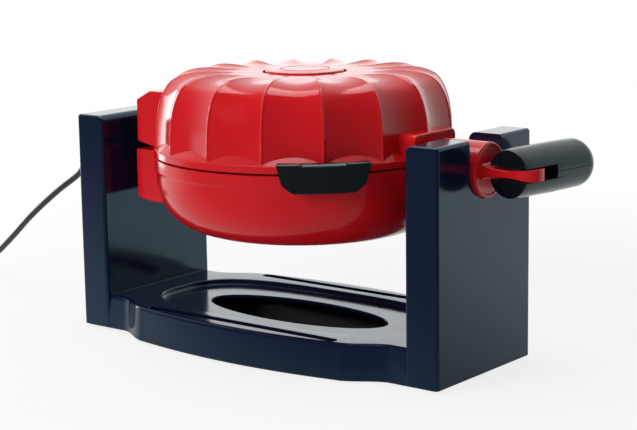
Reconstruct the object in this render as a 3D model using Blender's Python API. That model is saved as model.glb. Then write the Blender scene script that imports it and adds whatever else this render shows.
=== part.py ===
"""Rotary ring-cake maker: a fluted round mould that flips between the towers of its stand.

Units are metres and +Z is up. Every piece is modelled in the stand's own coordinates, with
x = 0 halfway between the towers and z = 0 on the table, and is then hung under the empty of
the joint that moves it. The root empty slides the whole object so that its middle is at x = 0.
"""

import math

import bmesh
import bpy
from mathutils import Matrix, Vector

# Clearances
SEAT_GAP = 0.0003
RUNNING_GAP = 0.0004
OVERRUN = 0.004
WELD_DISTANCE = 0.000001

# Stand: two towers on a flat deck whose front and rear panels bulge outwards
TOWER_RISE = 0.026
TOWER_THICKNESS = 0.032
STAND_DEPTH = 0.140
TOWER_CROWN_RADIUS = 0.007
TOWER_EDGE_RADIUS = 0.003
STAND_WALL = 0.003
DECK_HEIGHT = 0.033
DECK_EDGE_RADIUS = 0.0035
PANEL_BULGE = 0.019
PANEL_BOW = 0.010
PANEL_DRAFT = 0.0025
PANEL_CORNER_MARGIN = 0.060
PANEL_ROOT_MARGIN = 0.016
PANEL_INSET = 0.0005
DECK_CENTRE_X = 0.0
DISH_END_MARGIN = 0.028
DISH_SIDE_MARGIN = 0.004
DISH_DEPTH = 0.0035
DISH_FILLET = 0.006
OPENING_END_MARGIN = 0.071
OPENING_SIDE_MARGIN = 0.033
SLOT_END_MARGIN = 0.063
SLOT_WIDTH = 0.009
SLOT_STAND_OUT = 0.0095

# Base plate and feet
FOOT_HEIGHT = 0.0015
FOOT_RADIUS = 0.009
FOOT_PEG_RADIUS = 0.003
FOOT_INSET = 0.020
PLATE_HEIGHT = 0.0060
PLATE_FLOOR = 0.0025
PLATE_INSET = 0.0006
VENT_LENGTH = 0.040
VENT_WIDTH = 0.003
VENT_PITCH = 0.009
VENT_COUNT = 5
VENT_OFFSET_X = 0.125

# Mould: a fluted lid on a smooth bowl
MOULD_X = 0.013
PARTING_HEIGHT = 0.174
RIM_RADIUS = 0.133
HOUSING_GAP = 0.0016
HOUSING_WALL = 0.0025
FLANGE_HEIGHT = 0.0062
FLANGE_LAND = 0.0022
FLANGE_EDGE = 0.0005
LID_HEIGHT = 0.0725
FLUTE_COUNT = 16
FLUTE_DEPTH = 0.0060
FLUTE_DROP = 0.003
RECESS_SHARE = 0.2782
RECESS_DEPTH = 0.004
CAP_HEIGHT = 0.0058
CAP_MARGIN = 0.0026
BOWL_DEPTH = 0.068
BOWL_FLAT_SHARE = 0.5263
BOWL_ROUNDNESS = 2.4
BAND_HEIGHT = 0.0105
BAND_STEP = 0.0012
LEDGE_WIDTH = 0.0034
LEDGE_THICKNESS = 0.003

# Pans: pressed aluminium, each with its own cone in the middle
PAN_THICKNESS = 0.0018
PAN_GAP = 0.0005
PAN_RIM_MARGIN = 0.0074
PAN_FLANGE_WIDTH = 0.0076
LID_PAN_HEADROOM = 0.0200
LOWER_PAN_HEADROOM = 0.0175
PAN_FLUTE_DEPTH = 0.0042
CONE_TIP_SHARE = 0.1737

# Heaters and thermostat
HEATER_SHARE = 0.661
HEATER_TUBE_RADIUS = 0.0033
HEATER_OPEN_DEG = 24.0
HEATER_SIDES_RESOLUTION = 1
HEATER_POINTS = 32
THERMOSTAT_RADIUS = 0.007
THERMOSTAT_HEIGHT = 0.008
THERMOSTAT_SHARE = 0.538

# Lid hinge at the left, between the rim and the left tower
PIN_SETBACK = 0.011
PIN_RISE = 0.023
HINGE_PIN_RADIUS = 0.003
HINGE_HALF_WIDTH = 0.044
HINGE_SKIN = 0.004
HINGE_BACK = 0.018
HINGE_TOP_RISE = 0.0255
HINGE_TOP_CHAMFER_X = 0.016
HINGE_TOP_CHAMFER_Z = 0.0085
HINGE_LOW_DROP = 0.0248
HINGE_LOW_RELIEF = 0.0035
HINGE_REACH = 0.045
LOWER_HINGE_TOP_DROP = 0.0285
LOWER_HINGE_BACK = 0.020
LOWER_HINGE_DROP = 0.0535
LOWER_HINGE_CHAMFER = 0.004
KNUCKLE_HALF_WIDTH = 0.0255
KNUCKLE_RADIUS = 0.010
KNUCKLE_DROP = 0.024
KNUCKLE_FRONT = 0.0092
BRIDGE_BACK = 0.008
BRIDGE_THICKNESS = 0.0085

# Left journal, its bush and the strain relief
JOURNAL_RADIUS = 0.010
JOURNAL_BORE_RADIUS = 0.0065
JOURNAL_END_MARGIN = 0.010
BUSH_WALL = 0.0045
BUSH_FLANGE_WIDTH = 0.004
BUSH_FLANGE_THICKNESS = 0.0022
BUSH_END_MARGIN = 0.014
RELIEF_RADIUS = 0.0062
RELIEF_FLANGE_RADIUS = 0.009
RELIEF_FLANGE_THICKNESS = 0.0022
RELIEF_LENGTH = 0.030
RELIEF_ROOT_RADIUS = 0.0068
RELIEF_TIP_RADIUS = 0.0046
RELIEF_RIB_COUNT = 4
RELIEF_GROOVE_DEPTH = 0.0009
TERMINAL_WIDTH = 0.018
TERMINAL_LENGTH = 0.044
TERMINAL_HEIGHT = 0.014

# Right hub: the lower hub block, the drum in the notch and the tongue
HUB_STAND_OFF = 0.0145
HUB_CLEARANCE = 0.0075
HUB_HALF_WIDTH = 0.030
HUB_HEIGHT = 0.027
HUB_EDGE_RADIUS = 0.006
HUB_REACH = 0.045
HUB_LIFT_GAP = 0.0015
DRUM_RADIUS = 0.0230
DRUM_PROUD = 0.0045
DRUM_EDGE = 0.0012
TONGUE_HALF_WIDTH = 0.0125
TONGUE_ROOT_HALF = 0.0065
TONGUE_HEAD_HALF = 0.0048
TONGUE_HEAD_RADIUS = 0.0135
TONGUE_HEAD_OFFSET = 0.0100

# Folding handle
HANDLE_REACH = 0.0255
HANDLE_RADIUS = 0.0205
HANDLE_SWELL = 0.0006
HANDLE_FRONT = 0.012
HANDLE_LENGTH = 0.0945
HANDLE_DOME = 0.014
HANDLE_ANGLE_DEG = 8.0
FORK_DEPTH = 0.0263
FORK_GAP = 0.0007
HANDLE_PIN_RADIUS = 0.0025
HANDLE_PIN_SKIN = 0.004

# Latch: a bent clip that hinges low on the bowl and hooks over the lid's flange
LATCH_AZIMUTH_DEG = -45.5
LATCH_HALF_ANGLE_DEG = 15.9
LATCH_THICKNESS = 0.003
LATCH_STAND_OFF = 0.0095
LATCH_LIP_THICKNESS = 0.0028
LATCH_DROP = 0.0140
LATCH_CORNER_RISE = 0.007
LATCH_HOOK_GAP = 0.0004
LATCH_STATIONS = 17
LATCH_CORNER_SHARE = 0.7
LATCH_PIN_RADIUS = 0.0012
LATCH_PIN_STAND_OFF = 0.0033
LATCH_PIN_DROP = 0.0095
LATCH_LUG_RADIUS = 0.0025
LATCH_LUG_WIDTH = 0.005
LATCH_KNUCKLE_WIDTH = 0.010
LATCH_LUG_GAP = 0.0004

# Cord: one route to the table, a coil on the table, a tie and a plug
CORD_DIAMETER = 0.006
CORD_SPACING = 0.014
CORD_SIDES_RESOLUTION = 2
COIL_PITCH = 0.0066
COIL_MIDDLE_RADIUS = 0.033
COIL_TURNS = 3.5
COIL_POINTS_PER_TURN = 24
COIL_STAND_OFF = 0.3322
COIL_SIDE = 0.012
TIE_WIDTH = 0.008
TIE_THICKNESS = 0.0008
TIE_CLEARANCE = 0.0008
PLUG_RELIEF_LENGTH = 0.025
PLUG_RELIEF_TIP_RADIUS = 0.0042
PLUG_RELIEF_ROOT_RADIUS = 0.0062
PLUG_BODY_LENGTH = 0.034
PLUG_BODY_HALF_WIDTH = 0.018
PLUG_NECK_HALF_WIDTH = 0.010
PLUG_PIN_RADIUS = 0.0024
PLUG_PIN_LENGTH = 0.019
PLUG_PIN_SPACING = 0.019
PLUG_PIN_SEAT = 0.004

# Facet counts
RIM_SEGMENTS = 48
ROUND_SEGMENTS = 32
SMALL_SEGMENTS = 16
ARC_STEPS = 4
PANEL_STEPS = 8

# The lid's ridge line: radius share, height share, inward share and downward share of a flute
LID_RIDGE_SHARES = (
    (0.9985, 0.221, 1.00, 0.00),
    (0.9930, 0.400, 1.00, 0.00),
    (0.9790, 0.580, 1.00, 0.02),
    (0.9520, 0.735, 0.92, 0.15),
    (0.9060, 0.872, 0.75, 0.50),
    (0.8450, 0.945, 0.50, 0.85),
    (0.7570, 0.989, 0.20, 1.00),
    (0.6420, 1.000, 0.00, 0.90),
    (0.4590, 0.978, 0.00, 0.15),
)
RECESS_LIP_SHARE = 0.976

# The cord's route: distance from its start, distance to the rear and height as a share of the flip axis's
CORD_ROUTE_SHARES = (
    (0.0232, 0.0040, 0.9397),
    (0.0412, 0.0120, 0.8161),
    (0.0597, 0.0200, 0.7149),
    (0.0887, 0.0210, 0.6092),
    (0.1115, 0.0220, 0.5213),
    (0.1392, 0.0240, 0.4080),
    (0.1692, 0.0280, 0.2759),
    (0.2012, 0.0330, 0.1466),
    (0.2312, 0.0390, 0.0575),
    (0.2632, 0.0450, 0.0207),
    (0.2972, 0.0495, 0.0213),
)

# The lid's inner face: radius share and height share
LID_INNER_SHARES = (
    (0.640, 0.921),
    (0.780, 0.890),
    (0.865, 0.780),
    (0.918, 0.540),
    (0.936, 0.221),
)
LID_CEILING_SHARES = (0.305, 0.887)

# A pan's baking face: radius share of the pan and depth share, from the wall to the cone's tip
PAN_WALL_SHARES = (
    (0.988, 0.040),
    (0.965, 0.350),
    (0.905, 0.750),
    (0.790, 0.950),
    (0.640, 1.000),
    (0.480, 0.980),
    (0.340, 0.870),
    (0.240, 0.520),
    (0.186, 0.076),
)
PAN_FLUTED_POINTS = 4

# The tongue's side view: share of its length from the drum and share of its root's half height
TONGUE_SHARES = (
    (0.000, 1.00),
    (0.030, 0.82),
    (0.080, 0.68),
    (0.160, 0.58),
    (0.320, 0.48),
    (0.520, 0.45),
    (0.680, 0.53),
    (0.800, 0.69),
    (0.860, 0.738),
    (1.000, 0.738),
)

# Positions across one flute, as shares of its half width
LID_FLUTE_SHARES = (-0.96, -0.36, 0.36, 0.96)
PAN_FLUTE_SHARES = (-0.9, 0.0, 0.9)
SMOOTH_PAN_SHARES = (-1.0, 0.0)

# Worked out from the values above
FLIP_HEIGHT = PARTING_HEIGHT
TOWER_HEIGHT = FLIP_HEIGHT + TOWER_RISE
INNER_FACE_X = MOULD_X + RIM_RADIUS + HUB_STAND_OFF + HUB_CLEARANCE
OUTER_FACE_X = INNER_FACE_X + TOWER_THICKNESS
HALF_DEPTH = STAND_DEPTH / 2
PANEL_CORNER_X = INNER_FACE_X - PANEL_CORNER_MARGIN
PANEL_ROOT_X = INNER_FACE_X - PANEL_ROOT_MARGIN
DISH_HALF_LENGTH = INNER_FACE_X - DISH_END_MARGIN
DISH_HALF_WIDTH = HALF_DEPTH - DISH_SIDE_MARGIN
OPENING_HALF_LENGTH = INNER_FACE_X - OPENING_END_MARGIN
OPENING_HALF_WIDTH = HALF_DEPTH - OPENING_SIDE_MARGIN
SLOT_LENGTH = (INNER_FACE_X - SLOT_END_MARGIN) * 2
SLOT_OFFSET = HALF_DEPTH + SLOT_STAND_OUT
SHELL_BASE = FOOT_HEIGHT + PLATE_HEIGHT + SEAT_GAP
HINGE_X = MOULD_X - RIM_RADIUS - PIN_SETBACK
HINGE_Z = PARTING_HEIGHT + PIN_RISE
LID_BASE = PARTING_HEIGHT + HOUSING_GAP / 2
BOWL_TOP = PARTING_HEIGHT - HOUSING_GAP / 2
FLANGE_TOP = LID_BASE + FLANGE_HEIGHT
RIDGE_RADIUS = RIM_RADIUS - FLANGE_LAND
RECESS_RADIUS = RIM_RADIUS * RECESS_SHARE
BOWL_FLAT_RADIUS = RIM_RADIUS * BOWL_FLAT_SHARE
PAN_FLANGE_RADIUS = RIM_RADIUS - PAN_RIM_MARGIN
PAN_RADIUS = PAN_FLANGE_RADIUS - PAN_FLANGE_WIDTH
LID_PAN_DEPTH = LID_HEIGHT - LID_PAN_HEADROOM
LOWER_PAN_DEPTH = BOWL_DEPTH - LOWER_PAN_HEADROOM
CONE_TIP_RADIUS = PAN_RADIUS * CONE_TIP_SHARE
HEATER_RADIUS = PAN_RADIUS * HEATER_SHARE
THERMOSTAT_OFFSET = PAN_RADIUS * THERMOSTAT_SHARE
LOWER_HINGE_BOTTOM = PARTING_HEIGHT - LOWER_HINGE_DROP
KNUCKLE_BASE = PARTING_HEIGHT - KNUCKLE_DROP
JOURNAL_LENGTH_IN_TOWER = TOWER_THICKNESS - JOURNAL_END_MARGIN
BUSH_LENGTH = TOWER_THICKNESS - BUSH_END_MARGIN
LEDGE_RADIUS = PAN_FLANGE_RADIUS + RUNNING_GAP
INNER_RADIUS = LEDGE_RADIUS - LEDGE_WIDTH
HUB_FACE_X = INNER_FACE_X - HUB_CLEARANCE
DRUM_END_X = OUTER_FACE_X + DRUM_PROUD
HANDLE_X = DRUM_END_X + HANDLE_REACH
TONGUE_END_X = HANDLE_X + TONGUE_HEAD_OFFSET + TONGUE_HEAD_RADIUS
CORD_RADIUS = CORD_DIAMETER / 2
RELIEF_END_X = -OUTER_FACE_X - SEAT_GAP - RELIEF_FLANGE_THICKNESS - RELIEF_LENGTH
CORD_START_X = RELIEF_END_X - SEAT_GAP
COIL_OUTER_RADIUS = COIL_MIDDLE_RADIUS + COIL_TURNS * COIL_PITCH / 4
COIL_LOW = TIE_THICKNESS + SEAT_GAP + CORD_RADIUS
COIL_HIGH = COIL_LOW + COIL_PITCH
COIL_CENTRE = (CORD_START_X - COIL_STAND_OFF, COIL_SIDE)

FINISHES = {
    "red_gloss": ((0.60, 0.012, 0.022, 1.0), 0.18, 0.0),
    "navy_gloss": ((0.010, 0.013, 0.028, 1.0), 0.15, 0.0),
    "black_satin": ((0.014, 0.015, 0.017, 1.0), 0.38, 0.0),
    "black_matte": ((0.010, 0.010, 0.011, 1.0), 0.60, 0.0),
    "nonstick": ((0.030, 0.030, 0.032, 1.0), 0.45, 0.2),
    "steel": ((0.62, 0.62, 0.63, 1.0), 0.30, 1.0),
    "heater_steel": ((0.20, 0.19, 0.18, 1.0), 0.50, 0.9),
    "ivory_plastic": ((0.55, 0.52, 0.44, 1.0), 0.45, 0.0),
    "rubber": ((0.015, 0.015, 0.015, 1.0), 0.80, 0.0),
}


def clear_scene():
    """Remove every object of the open file."""
    for item in list(bpy.data.objects):
        bpy.data.objects.remove(item, do_unlink=True)


def make_material(name, finish):
    """Make a Principled material from one entry of FINISHES."""
    colour, roughness, metallic = FINISHES[finish]
    material = bpy.data.materials.new(name + "_" + finish)
    material.use_nodes = True
    shader = material.node_tree.nodes["Principled BSDF"]
    shader.inputs["Base Color"].default_value = colour
    shader.inputs["Roughness"].default_value = roughness
    shader.inputs["Metallic"].default_value = metallic
    return material


def object_from(bm, name):
    """Weld and orient a bmesh and link it as a new object."""
    bmesh.ops.remove_doubles(bm, verts=bm.verts, dist=WELD_DISTANCE)
    bmesh.ops.recalc_face_normals(bm, faces=bm.faces)
    mesh = bpy.data.meshes.new(name)
    bm.to_mesh(mesh)
    bm.free()
    item = bpy.data.objects.new(name, mesh)
    bpy.context.scene.collection.objects.link(item)
    return item


def combine(target, tool, operation):
    """Apply an exact Boolean of the tool to the target and remove the tool."""
    modifier = target.modifiers.new(operation.lower(), "BOOLEAN")
    modifier.operation = operation
    modifier.solver = "EXACT"
    modifier.object = tool
    depsgraph = bpy.context.evaluated_depsgraph_get()
    result = bpy.data.meshes.new_from_object(target.evaluated_get(depsgraph))
    target.modifiers.remove(modifier)
    target.data = result
    bpy.data.objects.remove(tool, do_unlink=True)


def cut(target, *tools):
    """Cut each tool out of the target."""
    for tool in tools:
        combine(target, tool, "DIFFERENCE")


def fuse(target, *tools):
    """Join each tool to the target as one body."""
    for tool in tools:
        combine(target, tool, "UNION")


def skin(rings, name):
    """Loft through rings of equal size and close both ends with flat faces."""
    bm = bmesh.new()
    rows = [[bm.verts.new(point) for point in ring] for ring in rings]
    count = len(rows[0])
    for low, high in zip(rows, rows[1:]):
        for index in range(count):
            after = (index + 1) % count
            bm.faces.new((low[index], low[after], high[after], high[index]))
    bm.faces.new(rows[0])
    bm.faces.new(rows[-1])
    return object_from(bm, name)


def prism(outline, low, high, axis, name):
    """Extrude a flat outline from low to high along the X, Y or Z axis."""
    order = {
        "X": lambda u, v, w: (w, u, v),
        "Y": lambda u, v, w: (u, w, v),
        "Z": lambda u, v, w: (u, v, w),
    }[axis]
    rings = [[order(u, v, level) for u, v in outline] for level in (low, high)]
    return skin(rings, name)


def turned(profile, centre, axis, segments, name):
    """Turn a profile of (radius, travel) points about an axis through the centre."""
    frames = {
        "X": (Vector((0, 1, 0)), Vector((0, 0, 1)), Vector((1, 0, 0))),
        "Y": (Vector((1, 0, 0)), Vector((0, 0, 1)), Vector((0, 1, 0))),
        "Z": (Vector((1, 0, 0)), Vector((0, 1, 0)), Vector((0, 0, 1))),
    }
    across, up, along = frames[axis]
    bm = bmesh.new()
    points = [Vector(centre) + across * radius + along * travel for radius, travel in profile]
    verts = [bm.verts.new(point) for point in points]
    edges = [bm.edges.new(pair) for pair in zip(verts, verts[1:])]
    bmesh.ops.spin(bm, geom=verts + edges, cent=Vector(centre), axis=across.cross(up),
                   angle=2 * math.pi, steps=segments, use_merge=True)
    return object_from(bm, name)


def cylinder(centre, axis, radius, low, high, segments, name):
    """Make a plain cylinder whose ends lie at low and high along its axis."""
    profile = ((0, low), (radius, low), (radius, high), (0, high))
    return turned(profile, centre, axis, segments, name)


def block(low, high, name):
    """Make a box from its low corner to its high corner."""
    outline = ((low[0], low[1]), (high[0], low[1]), (high[0], high[1]), (low[0], high[1]))
    return prism(outline, low[2], high[2], "Z", name)


def arc(centre, radius, start_deg, end_deg, steps):
    """List the points of an arc, both ends included."""
    angles = [math.radians(start_deg + (end_deg - start_deg) * i / steps) for i in range(steps + 1)]
    return [(centre[0] + radius * math.cos(a), centre[1] + radius * math.sin(a)) for a in angles]


def obround(centre_x, centre_y, length, width):
    """List the outline of a slot with round ends that runs along x."""
    reach = (length - width) / 2
    right = arc((centre_x + reach, centre_y), width / 2, -90, 90, ARC_STEPS)
    left = arc((centre_x - reach, centre_y), width / 2, 90, 270, ARC_STEPS)
    return right + left


def oval(centre_x, half_length, half_width, power, count):
    """List the outline of a superellipse centred on y = 0."""
    points = []
    for index in range(count):
        angle = 2 * math.pi * index / count
        c, s = math.cos(angle), math.sin(angle)
        x = half_length * math.copysign(abs(c) ** (2 / power), c)
        y = half_width * math.copysign(abs(s) ** (2 / power), s)
        points.append((centre_x + x, y))
    return points


def bevel_edges(item, choose, width, segments):
    """Round the edges for which choose(first, second) is true."""
    bm = bmesh.new()
    bm.from_mesh(item.data)
    edges = [edge for edge in bm.edges if choose(edge.verts[0].co, edge.verts[1].co)]
    bmesh.ops.bevel(bm, geom=edges, offset=width, offset_type="OFFSET", segments=segments,
                    profile=0.5, affect="EDGES", clamp_overlap=True)
    bm.to_mesh(item.data)
    bm.free()


def same(first, second):
    """Tell whether two lengths are equal within the weld distance."""
    return abs(first - second) < WELD_DISTANCE


def panel_half_depth(x):
    """Give the stand's half depth at x, from the tower's foot out to the bowed panel."""
    reach = abs(x)
    if reach >= PANEL_ROOT_X:
        return HALF_DEPTH
    if reach <= PANEL_CORNER_X:
        bow = PANEL_BOW * (1 - (reach / PANEL_CORNER_X) ** 2)
        return HALF_DEPTH + PANEL_BULGE + bow
    share = (PANEL_ROOT_X - reach) / (PANEL_ROOT_X - PANEL_CORNER_X)
    return HALF_DEPTH + PANEL_BULGE * share * share * (3 - 2 * share)


def panel_stations(reach):
    """List x positions along the panel, closer together where it swings outwards."""
    swing = [PANEL_ROOT_X - (PANEL_ROOT_X - PANEL_CORNER_X) * i / PANEL_STEPS for i in range(PANEL_STEPS + 1)]
    flat = [PANEL_CORNER_X / 2, 0]
    right = [reach] + swing + flat
    return right + [-x for x in reversed(right[:-1])]


def deck_outline(reach, inset):
    """List the plan outline of the deck, cut off at x = reach on both sides."""
    stations = panel_stations(reach)
    rear = [(x, panel_half_depth(x) - inset) for x in stations]
    front = [(x, -(panel_half_depth(x) - inset)) for x in reversed(stations)]
    return rear + front


def footprint(inset):
    """List the plan outline of the whole stand, with its rounded tower corners."""
    radius = TOWER_EDGE_RADIUS
    edge_x = OUTER_FACE_X - inset
    edge_y = HALF_DEPTH - inset
    stations = panel_stations(PANEL_ROOT_X)
    rear = [(x, panel_half_depth(x) - inset) for x in stations]
    front = [(x, -(panel_half_depth(x) - inset)) for x in reversed(stations)]
    rear_left = arc((-edge_x + radius, edge_y - radius), radius, 90, 180, ARC_STEPS)
    front_left = arc((-edge_x + radius, -edge_y + radius), radius, 180, 270, ARC_STEPS)
    front_right = arc((edge_x - radius, -edge_y + radius), radius, 270, 360, ARC_STEPS)
    rear_right = arc((edge_x - radius, edge_y - radius), radius, 0, 90, ARC_STEPS)
    return rear + rear_left + front_left + front + front_right + rear_right


def tower(side):
    """Model the outside of one tower; side is -1 for the left and 1 for the right."""
    low, high = SHELL_BASE, TOWER_HEIGHT
    inner, outer = INNER_FACE_X, OUTER_FACE_X
    crown = TOWER_CROWN_RADIUS
    edge = TOWER_EDGE_RADIUS
    outline = [(inner, low), (outer, low)]
    outline += arc((outer - edge, high - edge), edge, 0, 90, ARC_STEPS)
    outline += arc((inner + crown, high - crown), crown, 90, 180, ARC_STEPS)
    outline = [(side * x, z) for x, z in outline]
    item = prism(outline, -HALF_DEPTH, HALF_DEPTH, "Y", "tower")

    def on_face_rim(first, second):
        same_face = same(first.y, second.y) and same(abs(first.y), HALF_DEPTH)
        return same_face and not (same(first.z, low) and same(second.z, low))

    bevel_edges(item, on_face_rim, TOWER_EDGE_RADIUS, 2)
    return item


def deck_solid():
    """Model the outside of the deck with its rounded upper edge."""
    reach = INNER_FACE_X + STAND_WALL * 2
    levels = [(SHELL_BASE, 0.0), (DECK_HEIGHT - DECK_EDGE_RADIUS, PANEL_DRAFT)]
    for index in range(1, ARC_STEPS):
        angle = math.pi / 2 * index / (ARC_STEPS - 1)
        inset = PANEL_DRAFT + DECK_EDGE_RADIUS * (1 - math.cos(angle))
        levels.append((DECK_HEIGHT - DECK_EDGE_RADIUS * (1 - math.sin(angle)), inset))
    rings = [[(x, y, z) for x, y in deck_outline(reach, PANEL_INSET + inset)] for z, inset in levels]
    return skin(rings, "deck")


def tower_hollow(side):
    """Model the hollow of one tower, open at the bottom."""
    inner = INNER_FACE_X + STAND_WALL
    outer = OUTER_FACE_X - STAND_WALL
    low_x, high_x = sorted((side * inner, side * outer))
    reach = HALF_DEPTH - STAND_WALL
    low = (low_x, -reach, SHELL_BASE - OVERRUN)
    high = (high_x, reach, TOWER_HEIGHT - STAND_WALL)
    return block(low, high, "tower_hollow")


def deck_hollow():
    """Model the hollow under the deck, kept clear of the dish."""
    reach = INNER_FACE_X + STAND_WALL + STAND_WALL
    outline = deck_outline(reach, PANEL_INSET + PANEL_DRAFT + STAND_WALL)
    item = prism(outline, SHELL_BASE - OVERRUN, DECK_HEIGHT - STAND_WALL, "Z", "deck_hollow")
    half_length = DISH_HALF_LENGTH + STAND_WALL
    half_width = DISH_HALF_WIDTH + STAND_WALL
    dish = oval(DECK_CENTRE_X, half_length, half_width, 3, RIM_SEGMENTS)
    floor = DECK_HEIGHT - DISH_DEPTH - STAND_WALL
    cut(item, prism(dish, floor, DECK_HEIGHT, "Z", "dish_backing"))
    return item


def dish_tool():
    """Model the shallow dish that is sunk into the deck."""
    levels = (
        (DECK_HEIGHT + OVERRUN, 0.0),
        (DECK_HEIGHT, 0.0),
        (DECK_HEIGHT - DISH_DEPTH / 2, DISH_FILLET / 4),
        (DECK_HEIGHT - DISH_DEPTH, DISH_FILLET),
    )
    rings = []
    for level, inset in levels:
        outline = oval(DECK_CENTRE_X, DISH_HALF_LENGTH - inset, DISH_HALF_WIDTH - inset, 3, RIM_SEGMENTS)
        rings.append([(x, y, level) for x, y in outline])
    return skin(rings, "dish")


def notch_outline(radius, top):
    """List a U outline in (y, z) about the flip axis, open upwards to the given height."""
    return [(radius, top)] + arc((0, FLIP_HEIGHT), radius, 0, -180, ROUND_SEGMENTS // 2) + [(-radius, top)]


def stand_shell():
    """Model the stand's moulding: towers, deck, hollows, notch, bores and deck cuts."""
    item = tower(-1)
    item.name = "stand_shell"
    fuse(item, tower(1), deck_solid())
    notch_radius = DRUM_RADIUS + RUNNING_GAP
    right_hollow = tower_hollow(1)
    wall_outline = notch_outline(notch_radius + STAND_WALL, TOWER_HEIGHT + OVERRUN)
    cut(right_hollow, prism(wall_outline, INNER_FACE_X - OVERRUN, OUTER_FACE_X + OVERRUN, "X", "notch_wall"))
    cut(item, tower_hollow(-1), right_hollow, deck_hollow(), dish_tool())
    notch = notch_outline(notch_radius, TOWER_HEIGHT + OVERRUN)
    cut(item, prism(notch, INNER_FACE_X - OVERRUN, OUTER_FACE_X + OVERRUN, "X", "notch"))
    opening = oval(DECK_CENTRE_X, OPENING_HALF_LENGTH, OPENING_HALF_WIDTH, 2, RIM_SEGMENTS)
    floor = DECK_HEIGHT - DISH_DEPTH - STAND_WALL
    cut(item, prism(opening, floor - OVERRUN, DECK_HEIGHT + OVERRUN, "Z", "opening"))
    for side in (-1, 1):
        slot = obround(0, side * SLOT_OFFSET, SLOT_LENGTH, SLOT_WIDTH)
        cut(item, prism(slot, DECK_HEIGHT - STAND_WALL - OVERRUN, DECK_HEIGHT + OVERRUN, "Z", "slot"))
    bush_bore = JOURNAL_RADIUS + RUNNING_GAP + BUSH_WALL + SEAT_GAP
    cut(item, cylinder((0, 0, FLIP_HEIGHT), "X", bush_bore, -INNER_FACE_X - STAND_WALL - OVERRUN,
                       -INNER_FACE_X + OVERRUN, ROUND_SEGMENTS, "bush_bore"))
    cut(item, cylinder((0, 0, FLIP_HEIGHT), "X", RELIEF_RADIUS + SEAT_GAP, -OUTER_FACE_X - OVERRUN,
                       -OUTER_FACE_X + STAND_WALL + OVERRUN, ROUND_SEGMENTS, "relief_bore"))
    return item


def foot_places():
    """List the feet's places under the four tower corners."""
    x = OUTER_FACE_X - FOOT_INSET
    y = HALF_DEPTH - FOOT_INSET
    return [(-x, -y), (x, -y), (-x, y), (x, y)]


def base_plate():
    """Model the bottom cover: a tray with peg holes and two rows of vents."""
    item = prism(footprint(PLATE_INSET), FOOT_HEIGHT, FOOT_HEIGHT + PLATE_HEIGHT, "Z", "base_plate")
    floor = FOOT_HEIGHT + PLATE_FLOOR
    pocket = footprint(PLATE_INSET + STAND_WALL)
    cut(item, prism(pocket, floor, FOOT_HEIGHT + PLATE_HEIGHT + OVERRUN, "Z", "pocket"))
    for x, y in foot_places():
        cut(item, cylinder((x, y, 0), "Z", FOOT_PEG_RADIUS + SEAT_GAP, FOOT_HEIGHT - OVERRUN / 2,
                           floor + OVERRUN / 2, SMALL_SEGMENTS, "peg_hole"))
    for side in (-1, 1):
        for index in range(VENT_COUNT):
            y = (index - (VENT_COUNT - 1) / 2) * VENT_PITCH
            vent = obround(side * VENT_OFFSET_X, y, VENT_LENGTH, VENT_WIDTH)
            cut(item, prism(vent, FOOT_HEIGHT - OVERRUN / 2, floor + OVERRUN / 2, "Z", "vent"))
    return item


def foot(name, place):
    """Model one rubber foot with the peg that holds it in the base plate."""
    top = FOOT_HEIGHT - SEAT_GAP
    peg_top = FOOT_HEIGHT + PLATE_FLOOR
    edge = SEAT_GAP * 2
    profile = ((0, 0), (FOOT_RADIUS - edge, 0), (FOOT_RADIUS, edge), (FOOT_RADIUS, top),
               (FOOT_PEG_RADIUS, top), (FOOT_PEG_RADIUS, peg_top), (0, peg_top))
    return turned(profile, (place[0], place[1], 0), "Z", SMALL_SEGMENTS, name)


def bearing_bush():
    """Model the flanged bush that carries the journal in the left tower."""
    bore = JOURNAL_RADIUS + RUNNING_GAP
    sleeve = bore + BUSH_WALL
    flange = sleeve + BUSH_FLANGE_WIDTH
    face = -INNER_FACE_X + SEAT_GAP
    front = face + BUSH_FLANGE_THICKNESS
    back = face - BUSH_LENGTH
    profile = ((bore, front), (flange, front), (flange, face), (sleeve, face), (sleeve, back), (bore, back),
               (bore, front))
    return turned(profile, (0, 0, FLIP_HEIGHT), "X", ROUND_SEGMENTS, "bearing_bush")


def strain_relief():
    """Model the ribbed, tapered strain relief in the left tower's outer wall."""
    wall_inside = -OUTER_FACE_X + STAND_WALL
    inner_back = wall_inside + SEAT_GAP
    inner_front = inner_back + RELIEF_FLANGE_THICKNESS
    outer_face = -OUTER_FACE_X - SEAT_GAP
    flange_end = outer_face - RELIEF_FLANGE_THICKNESS
    profile = [(0, inner_front), (RELIEF_FLANGE_RADIUS, inner_front), (RELIEF_FLANGE_RADIUS, inner_back),
               (RELIEF_RADIUS, inner_back), (RELIEF_RADIUS, outer_face), (RELIEF_FLANGE_RADIUS, outer_face),
               (RELIEF_FLANGE_RADIUS, flange_end)]
    for index in range(RELIEF_RIB_COUNT):
        for share, depth in ((0.0, 0.0), (0.55, 0.0), (0.6, RELIEF_GROOVE_DEPTH), (0.95, RELIEF_GROOVE_DEPTH)):
            travel = (index + share) / RELIEF_RIB_COUNT
            radius = RELIEF_ROOT_RADIUS + (RELIEF_TIP_RADIUS - RELIEF_ROOT_RADIUS) * travel
            profile.append((radius - depth, flange_end - RELIEF_LENGTH * travel))
    profile += [(RELIEF_TIP_RADIUS, RELIEF_END_X), (0, RELIEF_END_X)]
    return turned(profile, (0, 0, FLIP_HEIGHT), "X", SMALL_SEGMENTS, "strain_relief")


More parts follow.
